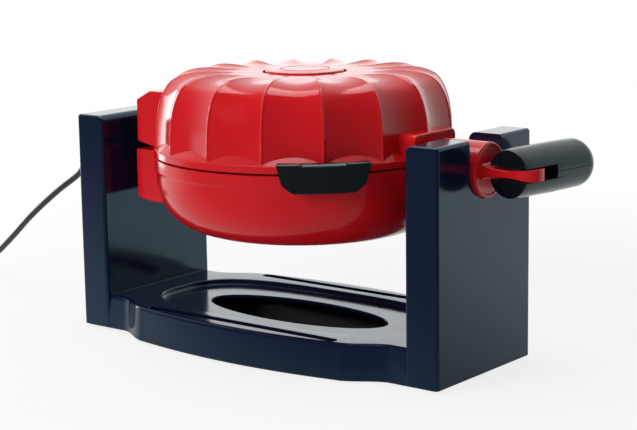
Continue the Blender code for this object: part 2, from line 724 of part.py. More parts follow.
def terminal_block():
    """Model the terminal block that stands on the base plate inside the left tower."""
    x = -INNER_FACE_X - TOWER_THICKNESS / 2
    low = FOOT_HEIGHT + PLATE_FLOOR + SEAT_GAP
    item = block((x - TERMINAL_WIDTH / 2, -TERMINAL_LENGTH / 2, low),
                 (x + TERMINAL_WIDTH / 2, TERMINAL_LENGTH / 2, low + TERMINAL_HEIGHT), "terminal_block")
    return item


def around(shares, count):
    """List (angle, flute position) pairs all round the mould, starting at a ridge."""
    pitch = 2 * math.pi / count
    start = -math.pi / 2
    return [(start + pitch * (index + (share + 1) / 2), share) for index in range(count) for share in shares]


def fluted_ring(radius, height, depth, drop, shares):
    """List one ring of a fluted wall: ridges stand proud and each flute is a parabola between them."""
    ring = []
    for angle, share in around(shares, FLUTE_COUNT):
        hollow = 1 - share * share
        r = radius - depth * hollow
        ring.append((MOULD_X + r * math.cos(angle), r * math.sin(angle), height - drop * hollow))
    return ring


def skirt_ring():
    """List the ring where the flutes run out on the flange as sloping crescents."""
    ring = []
    for angle, share in around(LID_FLUTE_SHARES, FLUTE_COUNT):
        rise = FLUTE_DEPTH * (1 - share * share)
        r = RIDGE_RADIUS - rise
        ring.append((MOULD_X + r * math.cos(angle), r * math.sin(angle), FLANGE_TOP + rise + FLANGE_EDGE))
    return ring


def lid_outside(offset):
    """List the lid's outer rings from the flange's lower edge up to the recess lip."""
    shares = LID_FLUTE_SHARES
    rim = RIM_RADIUS + offset
    rings = [
        fluted_ring(rim, LID_BASE - offset, 0, 0, shares),
        fluted_ring(rim, FLANGE_TOP - FLANGE_EDGE, 0, 0, shares),
        fluted_ring(rim - FLANGE_EDGE, FLANGE_TOP + offset, 0, 0, shares),
        fluted_ring(RIDGE_RADIUS + FLANGE_EDGE + offset, FLANGE_TOP + offset, 0, 0, shares),
    ]
    skirt = skirt_ring()
    rings.append([pushed(point, offset) for point in skirt])
    for radius_share, height_share, inward, downward in LID_RIDGE_SHARES:
        radius = RIDGE_RADIUS * radius_share + offset
        height = PARTING_HEIGHT + LID_HEIGHT * height_share + offset
        rings.append(fluted_ring(radius, height, FLUTE_DEPTH * inward, FLUTE_DROP * downward, shares))
    return rings


def pushed(point, offset):
    """Move a point outwards from the mould's axis and upwards by the offset."""
    x, y, z = point
    reach = math.hypot(x - MOULD_X, y)
    grow = (reach + offset) / reach
    return (MOULD_X + (x - MOULD_X) * grow, y * grow, z + offset)


def lid_envelope():
    """Model the lid as a filled solid one seat gap larger, to trim the blocks that fit on it."""
    return skin(lid_outside(SEAT_GAP), "lid_envelope")


def lid_housing():
    """Model the fluted lid as one shell, from the recess floor out and back to the ceiling."""
    shares = LID_FLUTE_SHARES
    lip_height = PARTING_HEIGHT + LID_HEIGHT * RECESS_LIP_SHARE
    recess_floor = lip_height - RECESS_DEPTH
    rings = [
        fluted_ring(RECESS_RADIUS - FLANGE_EDGE, recess_floor, 0, 0, shares),
        fluted_ring(RECESS_RADIUS, lip_height, 0, 0, shares),
    ]
    rings += list(reversed(lid_outside(0.0)))
    ledge = PARTING_HEIGHT + PAN_GAP / 2 + PAN_THICKNESS + SEAT_GAP
    rings.append(fluted_ring(LEDGE_RADIUS, LID_BASE, 0, 0, shares))
    rings.append(fluted_ring(LEDGE_RADIUS, ledge, 0, 0, shares))
    rings.append(fluted_ring(INNER_RADIUS, ledge, 0, 0, shares))
    for radius_share, height_share in reversed(LID_INNER_SHARES):
        rings.append(fluted_ring(RIDGE_RADIUS * radius_share, PARTING_HEIGHT + LID_HEIGHT * height_share, 0, 0,
                                 shares))
    ceiling_radius, ceiling_height = LID_CEILING_SHARES
    rings.append(fluted_ring(RIDGE_RADIUS * ceiling_radius, PARTING_HEIGHT + LID_HEIGHT * ceiling_height, 0, 0,
                             shares))
    return skin(rings, "lid_housing")


def lid_cap():
    """Model the round cap that sits in the recess in the middle of the lid."""
    low = PARTING_HEIGHT + LID_HEIGHT * RECESS_LIP_SHARE - RECESS_DEPTH + SEAT_GAP
    radius = RECESS_RADIUS - CAP_MARGIN
    high = low + CAP_HEIGHT
    edge = CAP_HEIGHT / 6
    groove = radius * 0.62
    profile = ((0, low), (radius, low), (radius, high - edge * 2), (radius - edge, high - edge),
               (groove + edge, high), (groove, high - edge), (groove - edge, high), (0, high))
    return turned(profile, (MOULD_X, 0, 0), "Z", ROUND_SEGMENTS, "lid_cap")


def pan_profile(depth):
    """List a pan's baking face as (radius, depth below its rim), from the flange to the cone."""
    wall = [(PAN_RADIUS * radius_share, depth * depth_share) for radius_share, depth_share in PAN_WALL_SHARES]
    return [(PAN_FLANGE_RADIUS, 0.0), (PAN_RADIUS, 0.0)] + wall + [(CONE_TIP_RADIUS, 0.0)]


def offset_profile(profile, distance):
    """Move a profile sideways by the distance, along the mean normal at each point."""
    moved = []
    last = len(profile) - 1
    for index, (radius, travel) in enumerate(profile):
        before = profile[max(index - 1, 0)]
        after = profile[min(index + 1, last)]
        step = Vector((after[0] - before[0], after[1] - before[1])).normalized()
        moved.append((radius + step.y * distance, travel - step.x * distance))
    return moved


def pan(name, depth, side, flute_depth, columns):
    """Model one pan: its baking face, then its back one sheet thickness behind."""
    face = pan_profile(depth)
    back = offset_profile(face, PAN_THICKNESS)
    back[0] = (PAN_FLANGE_RADIUS, PAN_THICKNESS)
    back[1] = (PAN_RADIUS + PAN_THICKNESS, PAN_THICKNESS)
    back[-1] = (CONE_TIP_RADIUS - PAN_THICKNESS, PAN_THICKNESS)
    level = PARTING_HEIGHT + side * PAN_GAP / 2
    rings = []
    for profile in (list(reversed(face)), back):
        for index, (radius, travel) in enumerate(profile):
            place = index if profile is back else len(profile) - 1 - index
            fluted = 2 <= place < 2 + PAN_FLUTED_POINTS
            flute = flute_depth if fluted else 0.0
            rings.append(fluted_ring(radius, level + side * travel, flute, 0, columns))
    return skin(rings, name)


def heater(name, height):
    """Model a bent heating element: an open ring of round tube with both ends capped."""
    start = math.radians(180 + HEATER_OPEN_DEG / 2)
    sweep = math.radians(360 - HEATER_OPEN_DEG)
    points = []
    for index in range(HEATER_POINTS + 1):
        angle = start + sweep * index / HEATER_POINTS
        points.append((MOULD_X + HEATER_RADIUS * math.cos(angle), HEATER_RADIUS * math.sin(angle), height))
    return tube(name, points, HEATER_TUBE_RADIUS, HEATER_SIDES_RESOLUTION)


def tube(name, points, radius, resolution):
    """Run a round tube with capped ends along a list of points, as a mesh object."""
    curve = bpy.data.curves.new(name, "CURVE")
    curve.dimensions = "3D"
    curve.bevel_depth = radius
    curve.bevel_resolution = resolution
    curve.use_fill_caps = True
    spline = curve.splines.new("POLY")
    spline.points.add(len(points) - 1)
    for target, point in zip(spline.points, points):
        target.co = (point[0], point[1], point[2], 1.0)
    item = bpy.data.objects.new(name, curve)
    bpy.context.scene.collection.objects.link(item)
    return item


def thermostat():
    """Model the thermostat that is pressed against the back of the lower pan."""
    top = PARTING_HEIGHT - PAN_GAP / 2 - LOWER_PAN_DEPTH - PAN_THICKNESS - SEAT_GAP
    return cylinder((MOULD_X, -THERMOSTAT_OFFSET, 0), "Z", THERMOSTAT_RADIUS, top - THERMOSTAT_HEIGHT, top,
                    SMALL_SEGMENTS, "thermostat")


def bowl_curve(top_radius, flat_radius, top, bottom, steps):
    """List the bowl's superellipse from its upper edge down to its flat floor."""
    points = []
    for index in range(steps + 1):
        angle = math.pi / 2 * index / steps
        radius = flat_radius + (top_radius - flat_radius) * math.cos(angle) ** (2 / BOWL_ROUNDNESS)
        height = top - (top - bottom) * math.sin(angle) ** (2 / BOWL_ROUNDNESS)
        points.append((radius, height))
    return points


def bowl_outside(offset):
    """List the bowl's outer profile from its rim down to its floor."""
    rim = RIM_RADIUS + offset
    band_low = BOWL_TOP - BAND_HEIGHT
    curve = bowl_curve(rim - BAND_STEP, BOWL_FLAT_RADIUS + offset, band_low - BAND_STEP,
                       PARTING_HEIGHT - BOWL_DEPTH - offset, ARC_STEPS * 2)
    return [(rim - FLANGE_EDGE, BOWL_TOP + offset), (rim, BOWL_TOP - FLANGE_EDGE + offset), (rim, band_low)] + curve


def bowl_envelope():
    """Model the bowl as a filled solid one seat gap larger, to trim the blocks that fit on it."""
    profile = [(0, BOWL_TOP + SEAT_GAP)] + bowl_outside(SEAT_GAP) + [(0, PARTING_HEIGHT - BOWL_DEPTH - SEAT_GAP)]
    return turned(profile, (MOULD_X, 0, 0), "Z", RIM_SEGMENTS, "bowl_envelope")


def lower_housing():
    """Model the smooth lower bowl with the ledge that carries the pan and the latch's lugs."""
    outside = list(reversed(bowl_outside(0.0)))
    floor = PARTING_HEIGHT - BOWL_DEPTH
    ledge = PARTING_HEIGHT - PAN_GAP / 2 - PAN_THICKNESS - SEAT_GAP
    band_low = BOWL_TOP - BAND_HEIGHT
    inside = [(LEDGE_RADIUS, BOWL_TOP), (LEDGE_RADIUS, ledge), (INNER_RADIUS, ledge),
              (INNER_RADIUS, ledge - LEDGE_THICKNESS)]
    inside += bowl_curve(RIM_RADIUS - BAND_STEP - HOUSING_WALL, BOWL_FLAT_RADIUS - HOUSING_WALL / 2,
                         band_low - BAND_STEP, floor + HOUSING_WALL, ARC_STEPS + 1)
    profile = [(0, floor)] + outside + inside + [(0, floor + HOUSING_WALL)]
    item = turned(profile, (MOULD_X, 0, 0), "Z", RIM_SEGMENTS, "lower_housing")
    offset = (LATCH_KNUCKLE_WIDTH + LATCH_LUG_WIDTH) / 2 + LATCH_LUG_GAP
    for side in (-1, 1):
        fuse(item, latch_lug(side * offset))
    for side in (-1, 1):
        cut(item, latch_round(LATCH_PIN_RADIUS + SEAT_GAP, side * offset, LATCH_LUG_WIDTH / 2 + OVERRUN / 8, "bore"))
    return item


def hinge_profile():
    """List the lid hinge block's side outline in (x, z)."""
    back = HINGE_X - HINGE_BACK
    top = HINGE_Z + HINGE_TOP_RISE
    low = HINGE_Z - HINGE_LOW_DROP
    front = HINGE_X + HINGE_REACH
    return [(front, LID_BASE), (HINGE_X + KNUCKLE_FRONT, LID_BASE), (HINGE_X + KNUCKLE_FRONT - SEAT_GAP * 5, low),
            (HINGE_X, low), (back, low + HINGE_LOW_RELIEF), (back, top - HINGE_TOP_CHAMFER_Z),
            (back + HINGE_TOP_CHAMFER_X, top), (front, top)]


def lid_hinge_block():
    """Model the red hinge block on the lid: two cheeks and a bridge over the knuckle."""
    item = prism(hinge_profile(), -HINGE_HALF_WIDTH, HINGE_HALF_WIDTH, "Y", "lid_hinge_block")
    bridge_low = HINGE_Z + HINGE_TOP_RISE - BRIDGE_THICKNESS
    slot = KNUCKLE_HALF_WIDTH + RUNNING_GAP
    cut(item, lid_envelope())
    cut(item, block((HINGE_X - HINGE_BACK - OVERRUN, -slot, LID_BASE - PIN_RISE),
                    (HINGE_X + HINGE_REACH, slot, bridge_low), "knuckle_slot"))
    cut(item, block((HINGE_X - HINGE_BACK - OVERRUN, -slot, bridge_low - OVERRUN),
                    (HINGE_X - BRIDGE_BACK, slot, HINGE_Z + HINGE_TOP_RISE + OVERRUN), "journal_slot"))
    reach = HINGE_HALF_WIDTH - HINGE_SKIN
    cut(item, cylinder((HINGE_X, 0, HINGE_Z), "Y", HINGE_PIN_RADIUS + SEAT_GAP, -reach, reach, SMALL_SEGMENTS,
                       "pin_bore"))
    return item


def hinge_pin():
    """Model the steel pin of the lid hinge."""
    reach = HINGE_HALF_WIDTH - HINGE_SKIN - SEAT_GAP
    return cylinder((HINGE_X, 0, HINGE_Z), "Y", HINGE_PIN_RADIUS, -reach, reach, SMALL_SEGMENTS, "hinge_pin")


def lower_hinge_block():
    """Model the red hinge block on the bowl, slotted for the knuckle."""
    back = HINGE_X - LOWER_HINGE_BACK
    top = HINGE_Z - LOWER_HINGE_TOP_DROP
    low = LOWER_HINGE_BOTTOM
    front = HINGE_X + HINGE_REACH
    chamfer = LOWER_HINGE_CHAMFER
    outline = [(front, low), (front, top), (back, top), (back, low + chamfer), (back + chamfer, low + chamfer / 2),
               (HINGE_X, low)]
    item = prism(outline, -HINGE_HALF_WIDTH, HINGE_HALF_WIDTH, "Y", "lower_hinge_block")
    slot = KNUCKLE_HALF_WIDTH + SEAT_GAP
    cut(item, bowl_envelope())
    cut(item, block((back - OVERRUN, -slot, KNUCKLE_BASE), (front, slot, top + OVERRUN), "knuckle_slot"))
    return item


def journal():
    """Model the left journal: the hinge knuckle with the hollow shaft that turns in the bush."""
    back = HINGE_X - KNUCKLE_RADIUS
    front = HINGE_X + KNUCKLE_FRONT
    low = KNUCKLE_BASE + SEAT_GAP
    outline = [(back, low), (front, low), (front, HINGE_Z - PIN_RISE / 2)]
    outline += arc((HINGE_X, HINGE_Z), KNUCKLE_RADIUS, -20, 180, ARC_STEPS * 3)
    item = prism(outline, -KNUCKLE_HALF_WIDTH, KNUCKLE_HALF_WIDTH, "Y", "journal")
    end = -INNER_FACE_X - JOURNAL_LENGTH_IN_TOWER
    fuse(item, cylinder((0, 0, FLIP_HEIGHT), "X", JOURNAL_RADIUS, end, back + KNUCKLE_RADIUS / 2, ROUND_SEGMENTS,
                        "shaft"))
    cut(item, cylinder((0, 0, FLIP_HEIGHT), "X", JOURNAL_BORE_RADIUS, end - OVERRUN, front + OVERRUN,
                       ROUND_SEGMENTS, "wire_bore"))
    cut(item, cylinder((HINGE_X, 0, HINGE_Z), "Y", HINGE_PIN_RADIUS + SEAT_GAP, -KNUCKLE_HALF_WIDTH - OVERRUN,
                       KNUCKLE_HALF_WIDTH + OVERRUN, SMALL_SEGMENTS, "pin_bore"))
    return item


def hub_outline(low, high, round_top):
    """List a hub block's outline in (y, z) with two rounded corners."""
    width = HUB_HALF_WIDTH
    radius = HUB_EDGE_RADIUS
    if round_top:
        right = arc((width - radius, high - radius), radius, 0, 90, ARC_STEPS)
        left = arc((-width + radius, high - radius), radius, 90, 180, ARC_STEPS)
        return [(-width, low), (width, low)] + right + left
    left = arc((-width + radius, low + radius), radius, 180, 270, ARC_STEPS)
    right = arc((width - radius, low + radius), radius, 270, 360, ARC_STEPS)
    return [(width, high), (-width, high)] + left + right


def lid_hub_block():
    """Model the red hub block on the lid, above the drum's shoulder."""
    outline = hub_outline(LID_BASE, LID_BASE + HUB_HEIGHT, True)
    face = HUB_FACE_X - HUB_LIFT_GAP
    item = prism(outline, face - HUB_REACH, face, "X", "lid_hub_block")
    cut(item, lid_envelope())
    return item


def tongue_profile():
    """List the tongue's side outline in (x, z): filleted root, narrow waist and thicker head."""
    length = TONGUE_END_X - DRUM_END_X
    upper = [(DRUM_END_X - DRUM_EDGE * 2, TONGUE_ROOT_HALF)]
    upper += [(DRUM_END_X + length * share, TONGUE_ROOT_HALF * half_share) for share, half_share in TONGUE_SHARES]
    lower = [(x, -half) for x, half in reversed(upper)]
    return [(x, FLIP_HEIGHT + half) for x, half in upper + lower]


def tongue():
    """Model the flat tongue that carries the handle."""
    root = DRUM_END_X - DRUM_EDGE * 2
    item = prism(tongue_profile(), -TONGUE_HEAD_RADIUS, TONGUE_HEAD_RADIUS, "Y", "tongue")
    neck = TONGUE_HALF_WIDTH
    head_x = HANDLE_X + TONGUE_HEAD_OFFSET
    outline = [(root, -neck), (HANDLE_X, -neck)]
    outline += arc((head_x, 0), TONGUE_HEAD_RADIUS, -90, 90, ARC_STEPS * 4)
    outline += [(HANDLE_X, neck), (root, neck)]
    half = TONGUE_ROOT_HALF + OVERRUN
    combine(item, prism(outline, FLIP_HEIGHT - half, FLIP_HEIGHT + half, "Z", "plan"), "INTERSECT")
    return item


def drum_hub():
    """Model the right hub: lower hub block, drum and tongue in one moulding."""
    outline = hub_outline(BOWL_TOP - HUB_HEIGHT, BOWL_TOP, False)
    item = prism(outline, HUB_FACE_X - HUB_REACH, HUB_FACE_X, "X", "drum_hub")
    cut(item, bowl_envelope())
    edge = DRUM_EDGE
    profile = ((0, HUB_FACE_X - edge), (DRUM_RADIUS - edge, HUB_FACE_X), (DRUM_RADIUS, HUB_FACE_X + edge),
               (DRUM_RADIUS, DRUM_END_X - edge), (DRUM_RADIUS - edge, DRUM_END_X), (0, DRUM_END_X))
    fuse(item, turned(profile, (0, 0, FLIP_HEIGHT), "X", RIM_SEGMENTS, "drum"), tongue())
    cut(item, cylinder((HANDLE_X, 0, 0), "Z", HANDLE_PIN_RADIUS + SEAT_GAP, FLIP_HEIGHT - TONGUE_ROOT_HALF,
                       FLIP_HEIGHT + TONGUE_ROOT_HALF, SMALL_SEGMENTS, "pin_hole"))
    return item


def handle_profile():
    """List the handle's profile as (radius, distance from the fold pin), from its flat end to its dome."""
    radius = HANDLE_RADIUS
    edge = HANDLE_SWELL
    far = HANDLE_LENGTH - HANDLE_FRONT
    profile = [(0, -HANDLE_FRONT), (radius - edge * 2, -HANDLE_FRONT), (radius - edge, -HANDLE_FRONT + edge),
               (radius + edge, (far - HANDLE_FRONT) / 2)]
    steps = ARC_STEPS + 2
    for index in range(steps):
        angle = math.pi / 2 * index / steps
        profile.append((radius * math.cos(angle) ** 0.6, far - HANDLE_DOME * (1 - math.sin(angle))))
    profile.append((0, far))
    return profile


def handle_solid():
    """Model the whole handle: a barrel with a domed far end and a fork for the tongue."""
    item = turned(handle_profile(), (HANDLE_X, 0, FLIP_HEIGHT), "Y", ROUND_SEGMENTS, "handle")
    reach = HANDLE_RADIUS + OVERRUN
    half = TONGUE_HEAD_HALF + FORK_GAP
    cut(item, block((HANDLE_X - reach, -HANDLE_FRONT - OVERRUN, FLIP_HEIGHT - half),
                    (HANDLE_X + reach, FORK_DEPTH, FLIP_HEIGHT + half), "fork"))
    pin_reach = HANDLE_RADIUS - HANDLE_PIN_SKIN
    cut(item, cylinder((HANDLE_X, 0, 0), "Z", HANDLE_PIN_RADIUS + SEAT_GAP, FLIP_HEIGHT - pin_reach,
                       FLIP_HEIGHT + pin_reach, SMALL_SEGMENTS, "pin_bore"))
    return item


def handle_half(name, side):
    """Cut the handle along its seam and keep the upper (1) or the lower (-1) half."""
    item = handle_solid()
    item.name = name
    reach = HANDLE_RADIUS + HANDLE_SWELL + OVERRUN
    seam = FLIP_HEIGHT + side * SEAT_GAP / 2
    low, high = sorted((seam, seam - side * (reach + OVERRUN)))
    cut(item, block((HANDLE_X - reach, -HANDLE_FRONT - OVERRUN, low), (HANDLE_X + reach, HANDLE_LENGTH, high),
                    "other_half"))
    turn = Matrix.Rotation(-math.radians(HANDLE_ANGLE_DEG), 4, "Z")
    pin = Vector((HANDLE_X, 0, FLIP_HEIGHT))
    item.data.transform(Matrix.Translation(pin) @ turn @ Matrix.Translation(-pin))
    return item


def handle_pin():
    """Model the steel pin on which the handle folds."""
    reach = HANDLE_RADIUS - HANDLE_PIN_SKIN - SEAT_GAP
    return cylinder((HANDLE_X, 0, 0), "Z", HANDLE_PIN_RADIUS, FLIP_HEIGHT - reach, FLIP_HEIGHT + reach,
                    SMALL_SEGMENTS, "handle_pin")


def latch_axis_point():
    """Give the middle of the latch's hinge axis."""
    azimuth = math.radians(LATCH_AZIMUTH_DEG)
    radius = RIM_RADIUS + LATCH_PIN_STAND_OFF
    return Vector((MOULD_X + radius * math.cos(azimuth), radius * math.sin(azimuth), PARTING_HEIGHT - LATCH_PIN_DROP))


def latch_round(radius, offset, half_length, name):
    """Make a cylinder on the latch's hinge axis, offset along it."""
    azimuth = math.radians(LATCH_AZIMUTH_DEG)
    item = cylinder((0, 0, 0), "Y", radius, -half_length, half_length, SMALL_SEGMENTS, name)
    middle = latch_axis_point() + Vector((-math.sin(azimuth), math.cos(azimuth), 0)) * offset
    item.data.transform(Matrix.Translation(middle) @ Matrix.Rotation(azimuth, 4, "Z"))
    return item


def latch_lug(offset):
    """Model one lug on the bowl's rim: a round ear with a web back to the wall."""
    azimuth = math.radians(LATCH_AZIMUTH_DEG)
    half = LATCH_LUG_WIDTH / 2
    radius = LATCH_LUG_RADIUS
    back = -LATCH_PIN_STAND_OFF - HOUSING_WALL / 2
    outline = [(back, -radius)] + arc((0, 0), radius, -90, 90, ARC_STEPS) + [(back, radius)]
    item = prism(outline, -half, half, "Y", "lug")
    middle = latch_axis_point() + Vector((-math.sin(azimuth), math.cos(azimuth), 0)) * offset
    item.data.transform(Matrix.Translation(middle) @ Matrix.Rotation(azimuth, 4, "Z"))
    return item


def latch_section(share):
    """List the latch's section at a share of its half width, as (radius, height) points."""
    outer = RIM_RADIUS + LATCH_STAND_OFF
    inner = outer - LATCH_THICKNESS
    lip_low = FLANGE_TOP + LATCH_HOOK_GAP
    lip_high = lip_low + LATCH_LIP_THICKNESS
    tip = RIDGE_RADIUS + FLANGE_EDGE + LATCH_HOOK_GAP
    edge = LATCH_THICKNESS / 3
    rise = LATCH_CORNER_RISE * max(0.0, (abs(share) - LATCH_CORNER_SHARE) / (1 - LATCH_CORNER_SHARE)) ** 2
    low = PARTING_HEIGHT - LATCH_DROP + rise
    return [(tip, lip_low), (tip + edge, lip_high), (outer - edge, lip_high), (outer, lip_high - edge),
            (outer, low + edge), (outer - edge, low), (inner, low), (inner, lip_low)]


def latch():
    """Model the latch as a loft of sections round the rim, with its knuckle."""
    middle = math.radians(LATCH_AZIMUTH_DEG)
    half = math.radians(LATCH_HALF_ANGLE_DEG)
    rings = []
    for index in range(LATCH_STATIONS):
        share = 2 * index / (LATCH_STATIONS - 1) - 1
        angle = middle + half * share
        across, along = math.cos(angle), math.sin(angle)
        rings.append([(MOULD_X + r * across, r * along, z) for r, z in latch_section(share)])
    item = skin(rings, "latch")
    fuse(item, latch_knuckle())
    cut(item, latch_round(LATCH_PIN_RADIUS + SEAT_GAP, 0, LATCH_KNUCKLE_WIDTH / 2 + OVERRUN, "latch_bore"))
    return item


def latch_knuckle():
    """Model the knuckle on the latch's inner face, between the two lugs."""
    azimuth = math.radians(LATCH_AZIMUTH_DEG)
    half = LATCH_KNUCKLE_WIDTH / 2
    radius = LATCH_LUG_RADIUS
    front = LATCH_STAND_OFF - LATCH_PIN_STAND_OFF - LATCH_THICKNESS / 2
    outline = [(front, -radius), (front, radius)] + arc((0, 0), radius, 90, 270, ARC_STEPS * 2)
    item = prism(outline, -half, half, "Y", "knuckle")
    item.data.transform(Matrix.Translation(latch_axis_point()) @ Matrix.Rotation(azimuth, 4, "Z"))
    return item


def latch_pin():
    """Model the small pin on which the latch turns."""
    half = LATCH_KNUCKLE_WIDTH / 2 + LATCH_LUG_GAP + LATCH_LUG_WIDTH
    return latch_round(LATCH_PIN_RADIUS, 0, half, "latch_pin")


def coil_point(turn):
    """Give the coil's middle line at a number of turns from its start."""
    half = COIL_TURNS / 2
    radius = COIL_OUTER_RADIUS - COIL_PITCH * (half - abs(turn - half))
    share = min(1.0, max(0.0, (turn - half + 0.25) * 2))
    height = COIL_LOW + (COIL_HIGH - COIL_LOW) * share * share * (3 - 2 * share)
    angle = math.pi / 2 + 2 * math.pi * turn
    return (COIL_CENTRE[0] + radius * math.cos(angle), COIL_CENTRE[1] + radius * math.sin(angle), height)


def coil_points():
    """List the coil's points, with one straight cord diameter at each end."""
    count = round(COIL_TURNS * COIL_POINTS_PER_TURN)
    points = [coil_point(COIL_TURNS * index / count) for index in range(count + 1)]
    first, last = points[0], points[-1]
    start = (first[0] + CORD_DIAMETER, first[1], first[2])
    end = (last[0] + CORD_DIAMETER, last[1], last[2])
    return [start] + points + [end]


def least_self_gap(points):
    """Measure the least gap between the coil's surface and itself, skipping near neighbours."""
    least = math.inf
    skip = COIL_POINTS_PER_TURN // 2
    for index, first in enumerate(points):
        for second in points[index + skip:]:
            least = min(least, math.dist(first, second) - CORD_DIAMETER)
    return least


def route_points():
    """List the free cord's points, read from a smooth curve through the route."""
    start = (CORD_START_X, 0.0, FLIP_HEIGHT)
    straight = (CORD_START_X - CORD_DIAMETER, 0.0, FLIP_HEIGHT)
    coil_start = coil_points()[0]
    end = (coil_start[0] + SEAT_GAP, coil_start[1], coil_start[2])
    before_end = (end[0] + CORD_DIAMETER, end[1], end[2])
    route = [(CORD_START_X - reach, side, FLIP_HEIGHT * share) for reach, side, share in CORD_ROUTE_SHARES]
    knots = [Vector(point) for point in [straight] + route + [before_end]]
    first_ghost = knots[0] * 2 - knots[1]
    last_ghost = Vector(end) * 1.0
    padded = [first_ghost] + knots + [last_ghost]
    points = [Vector(start)]
    for p0, p1, p2, p3 in zip(padded, padded[1:], padded[2:], padded[3:]):
        steps = max(1, round((p2 - p1).length / CORD_SPACING))
        for index in range(steps):
            t = index / steps
            points.append(0.5 * ((2 * p1) + (p2 - p0) * t + (2 * p0 - 5 * p1 + 4 * p2 - p3) * t ** 2
                                 + (3 * p1 - p0 - 3 * p2 + p3) * t ** 3))
    points.append(knots[-1])
    points.append(Vector(end))
    return points


def cord_tie():
    """Model the tie as a flat band round all the coil's turns, at the coil's far left."""
    inner = COIL_OUTER_RADIUS - COIL_PITCH * COIL_TURNS / 2 - CORD_RADIUS - TIE_CLEARANCE
    outer = COIL_OUTER_RADIUS + CORD_RADIUS + TIE_CLEARANCE
    high = COIL_HIGH + CORD_RADIUS + SEAT_GAP
    right = COIL_CENTRE[0] - inner
    left = COIL_CENTRE[0] - outer
    wall = TIE_THICKNESS
    outside = [(left - wall, 0.0), (right + wall, 0.0), (right + wall, high + wall), (left - wall, high + wall)]
    inside = [(left, wall), (right, wall), (right, high), (left, high)]
    low_y = COIL_CENTRE[1] - TIE_WIDTH / 2
    high_y = COIL_CENTRE[1] + TIE_WIDTH / 2
    item = prism(outside, low_y, high_y, "Y", "cord_tie")
    cut(item, prism(inside, low_y - OVERRUN, high_y + OVERRUN, "Y", "tie_hole"))
    return item


def plug_body():
    """Model the moulded plug, which lies on the table in line with the coil's end."""
    end = coil_points()[-1]
    start = end[0] + SEAT_GAP
    body = start + PLUG_RELIEF_LENGTH
    front = body + PLUG_BODY_LENGTH
    profile = ((0, start), (PLUG_RELIEF_TIP_RADIUS, start), (PLUG_RELIEF_ROOT_RADIUS, body + OVERRUN),
               (0, body + OVERRUN))
    relief = turned(profile, (0, end[1], end[2]), "X", SMALL_SEGMENTS, "relief")
    stations = ((0.0, PLUG_NECK_HALF_WIDTH, 0.75), (0.3, PLUG_NECK_HALF_WIDTH * 1.15, 1.0),
                (0.62, PLUG_BODY_HALF_WIDTH * 0.94, 1.0), (1.0, PLUG_BODY_HALF_WIDTH, 1.0))
    rings = []
    for share, half_width, height_share in stations:
        half_height = end[2] * height_share
        outline = oval(0.0, half_width, half_height, 3.2, SMALL_SEGMENTS)
        rings.append([(body + (front - body) * share, end[1] + y, end[2] + z) for y, z in outline])
    item = skin(rings, "mains_plug")
    fuse(item, relief)
    for side in (-1, 1):
        centre = (0, end[1] + side * PLUG_PIN_SPACING / 2, end[2])
        cut(item, cylinder(centre, "X", PLUG_PIN_RADIUS + SEAT_GAP, front - PLUG_PIN_SEAT - SEAT_GAP,
                           front + OVERRUN, SMALL_SEGMENTS, "pin_seat"))
    return item


def plug_pin(name, side):
    """Model one round plug pin with a rounded tip."""
    end = coil_points()[-1]
    front = end[0] + SEAT_GAP + PLUG_RELIEF_LENGTH + PLUG_BODY_LENGTH
    tip = front + PLUG_PIN_LENGTH
    radius = PLUG_PIN_RADIUS
    profile = ((0, front - PLUG_PIN_SEAT), (radius, front - PLUG_PIN_SEAT), (radius, tip - radius),
               (radius * 0.7, tip - radius * 0.3), (0, tip))
    centre = (0, end[1] + side * PLUG_PIN_SPACING / 2, end[2])
    return turned(profile, centre, "X", SMALL_SEGMENTS, name)


def object_middle_x():
    """Give the x of the middle between the left tower's face and the handle's outermost point."""
    angle = math.radians(HANDLE_ANGLE_DEG)
    reach = max(travel * math.sin(angle) + radius * math.cos(angle) for radius, travel in handle_profile())
    return (HANDLE_X + reach - OUTER_FACE_X) / 2


def joint_empty(name, place, parent):
    """Add an empty on a joint's axis; the place is in the stand's coordinates."""
    empty = bpy.data.objects.new(name, None)
    bpy.context.scene.collection.objects.link(empty)
    empty["stand_place"] = tuple(place)
    if parent is not None:
        empty.parent = parent
        empty.location = Vector(place) - Vector(parent["stand_place"])
    return empty


def hang(item, joint, finish):
    """Finish a piece: move its origin to its joint, parent it there and give it its material."""
    item.data.transform(Matrix.Translation(-Vector(joint["stand_place"])))
    item.parent = joint
    item.data.materials.clear()
    item.data.materials.append(make_material(item.name, finish))


def add_stand(root):
    """Build the pieces that stand still."""
    hang(stand_shell(), root, "navy_gloss")
    hang(base_plate(), root, "black_matte")
    for index, place in enumerate(foot_places()):
        hang(foot("foot_%d" % (index + 1), place), root, "rubber")
    hang(bearing_bush(), root, "black_satin")
    hang(strain_relief(), root, "black_matte")
    hang(terminal_block(), root, "ivory_plastic")


def add_lower_mould(flip):
    """Build the lower half of the mould, which turns with the drum."""
    hang(lower_housing(), flip, "red_gloss")
    hang(pan("lower_pan", LOWER_PAN_DEPTH, -1, 0.0, SMOOTH_PAN_SHARES), flip, "nonstick")
    back = PARTING_HEIGHT - PAN_GAP / 2 - LOWER_PAN_DEPTH - PAN_THICKNESS
    hang(heater("lower_heater", back - SEAT_GAP - HEATER_TUBE_RADIUS), flip, "heater_steel")
    hang(thermostat(), flip, "steel")
    hang(lower_hinge_block(), flip, "red_gloss")
    hang(journal(), flip, "steel")
    hang(hinge_pin(), flip, "steel")
    hang(drum_hub(), flip, "red_gloss")
    hang(latch_pin(), flip, "steel")


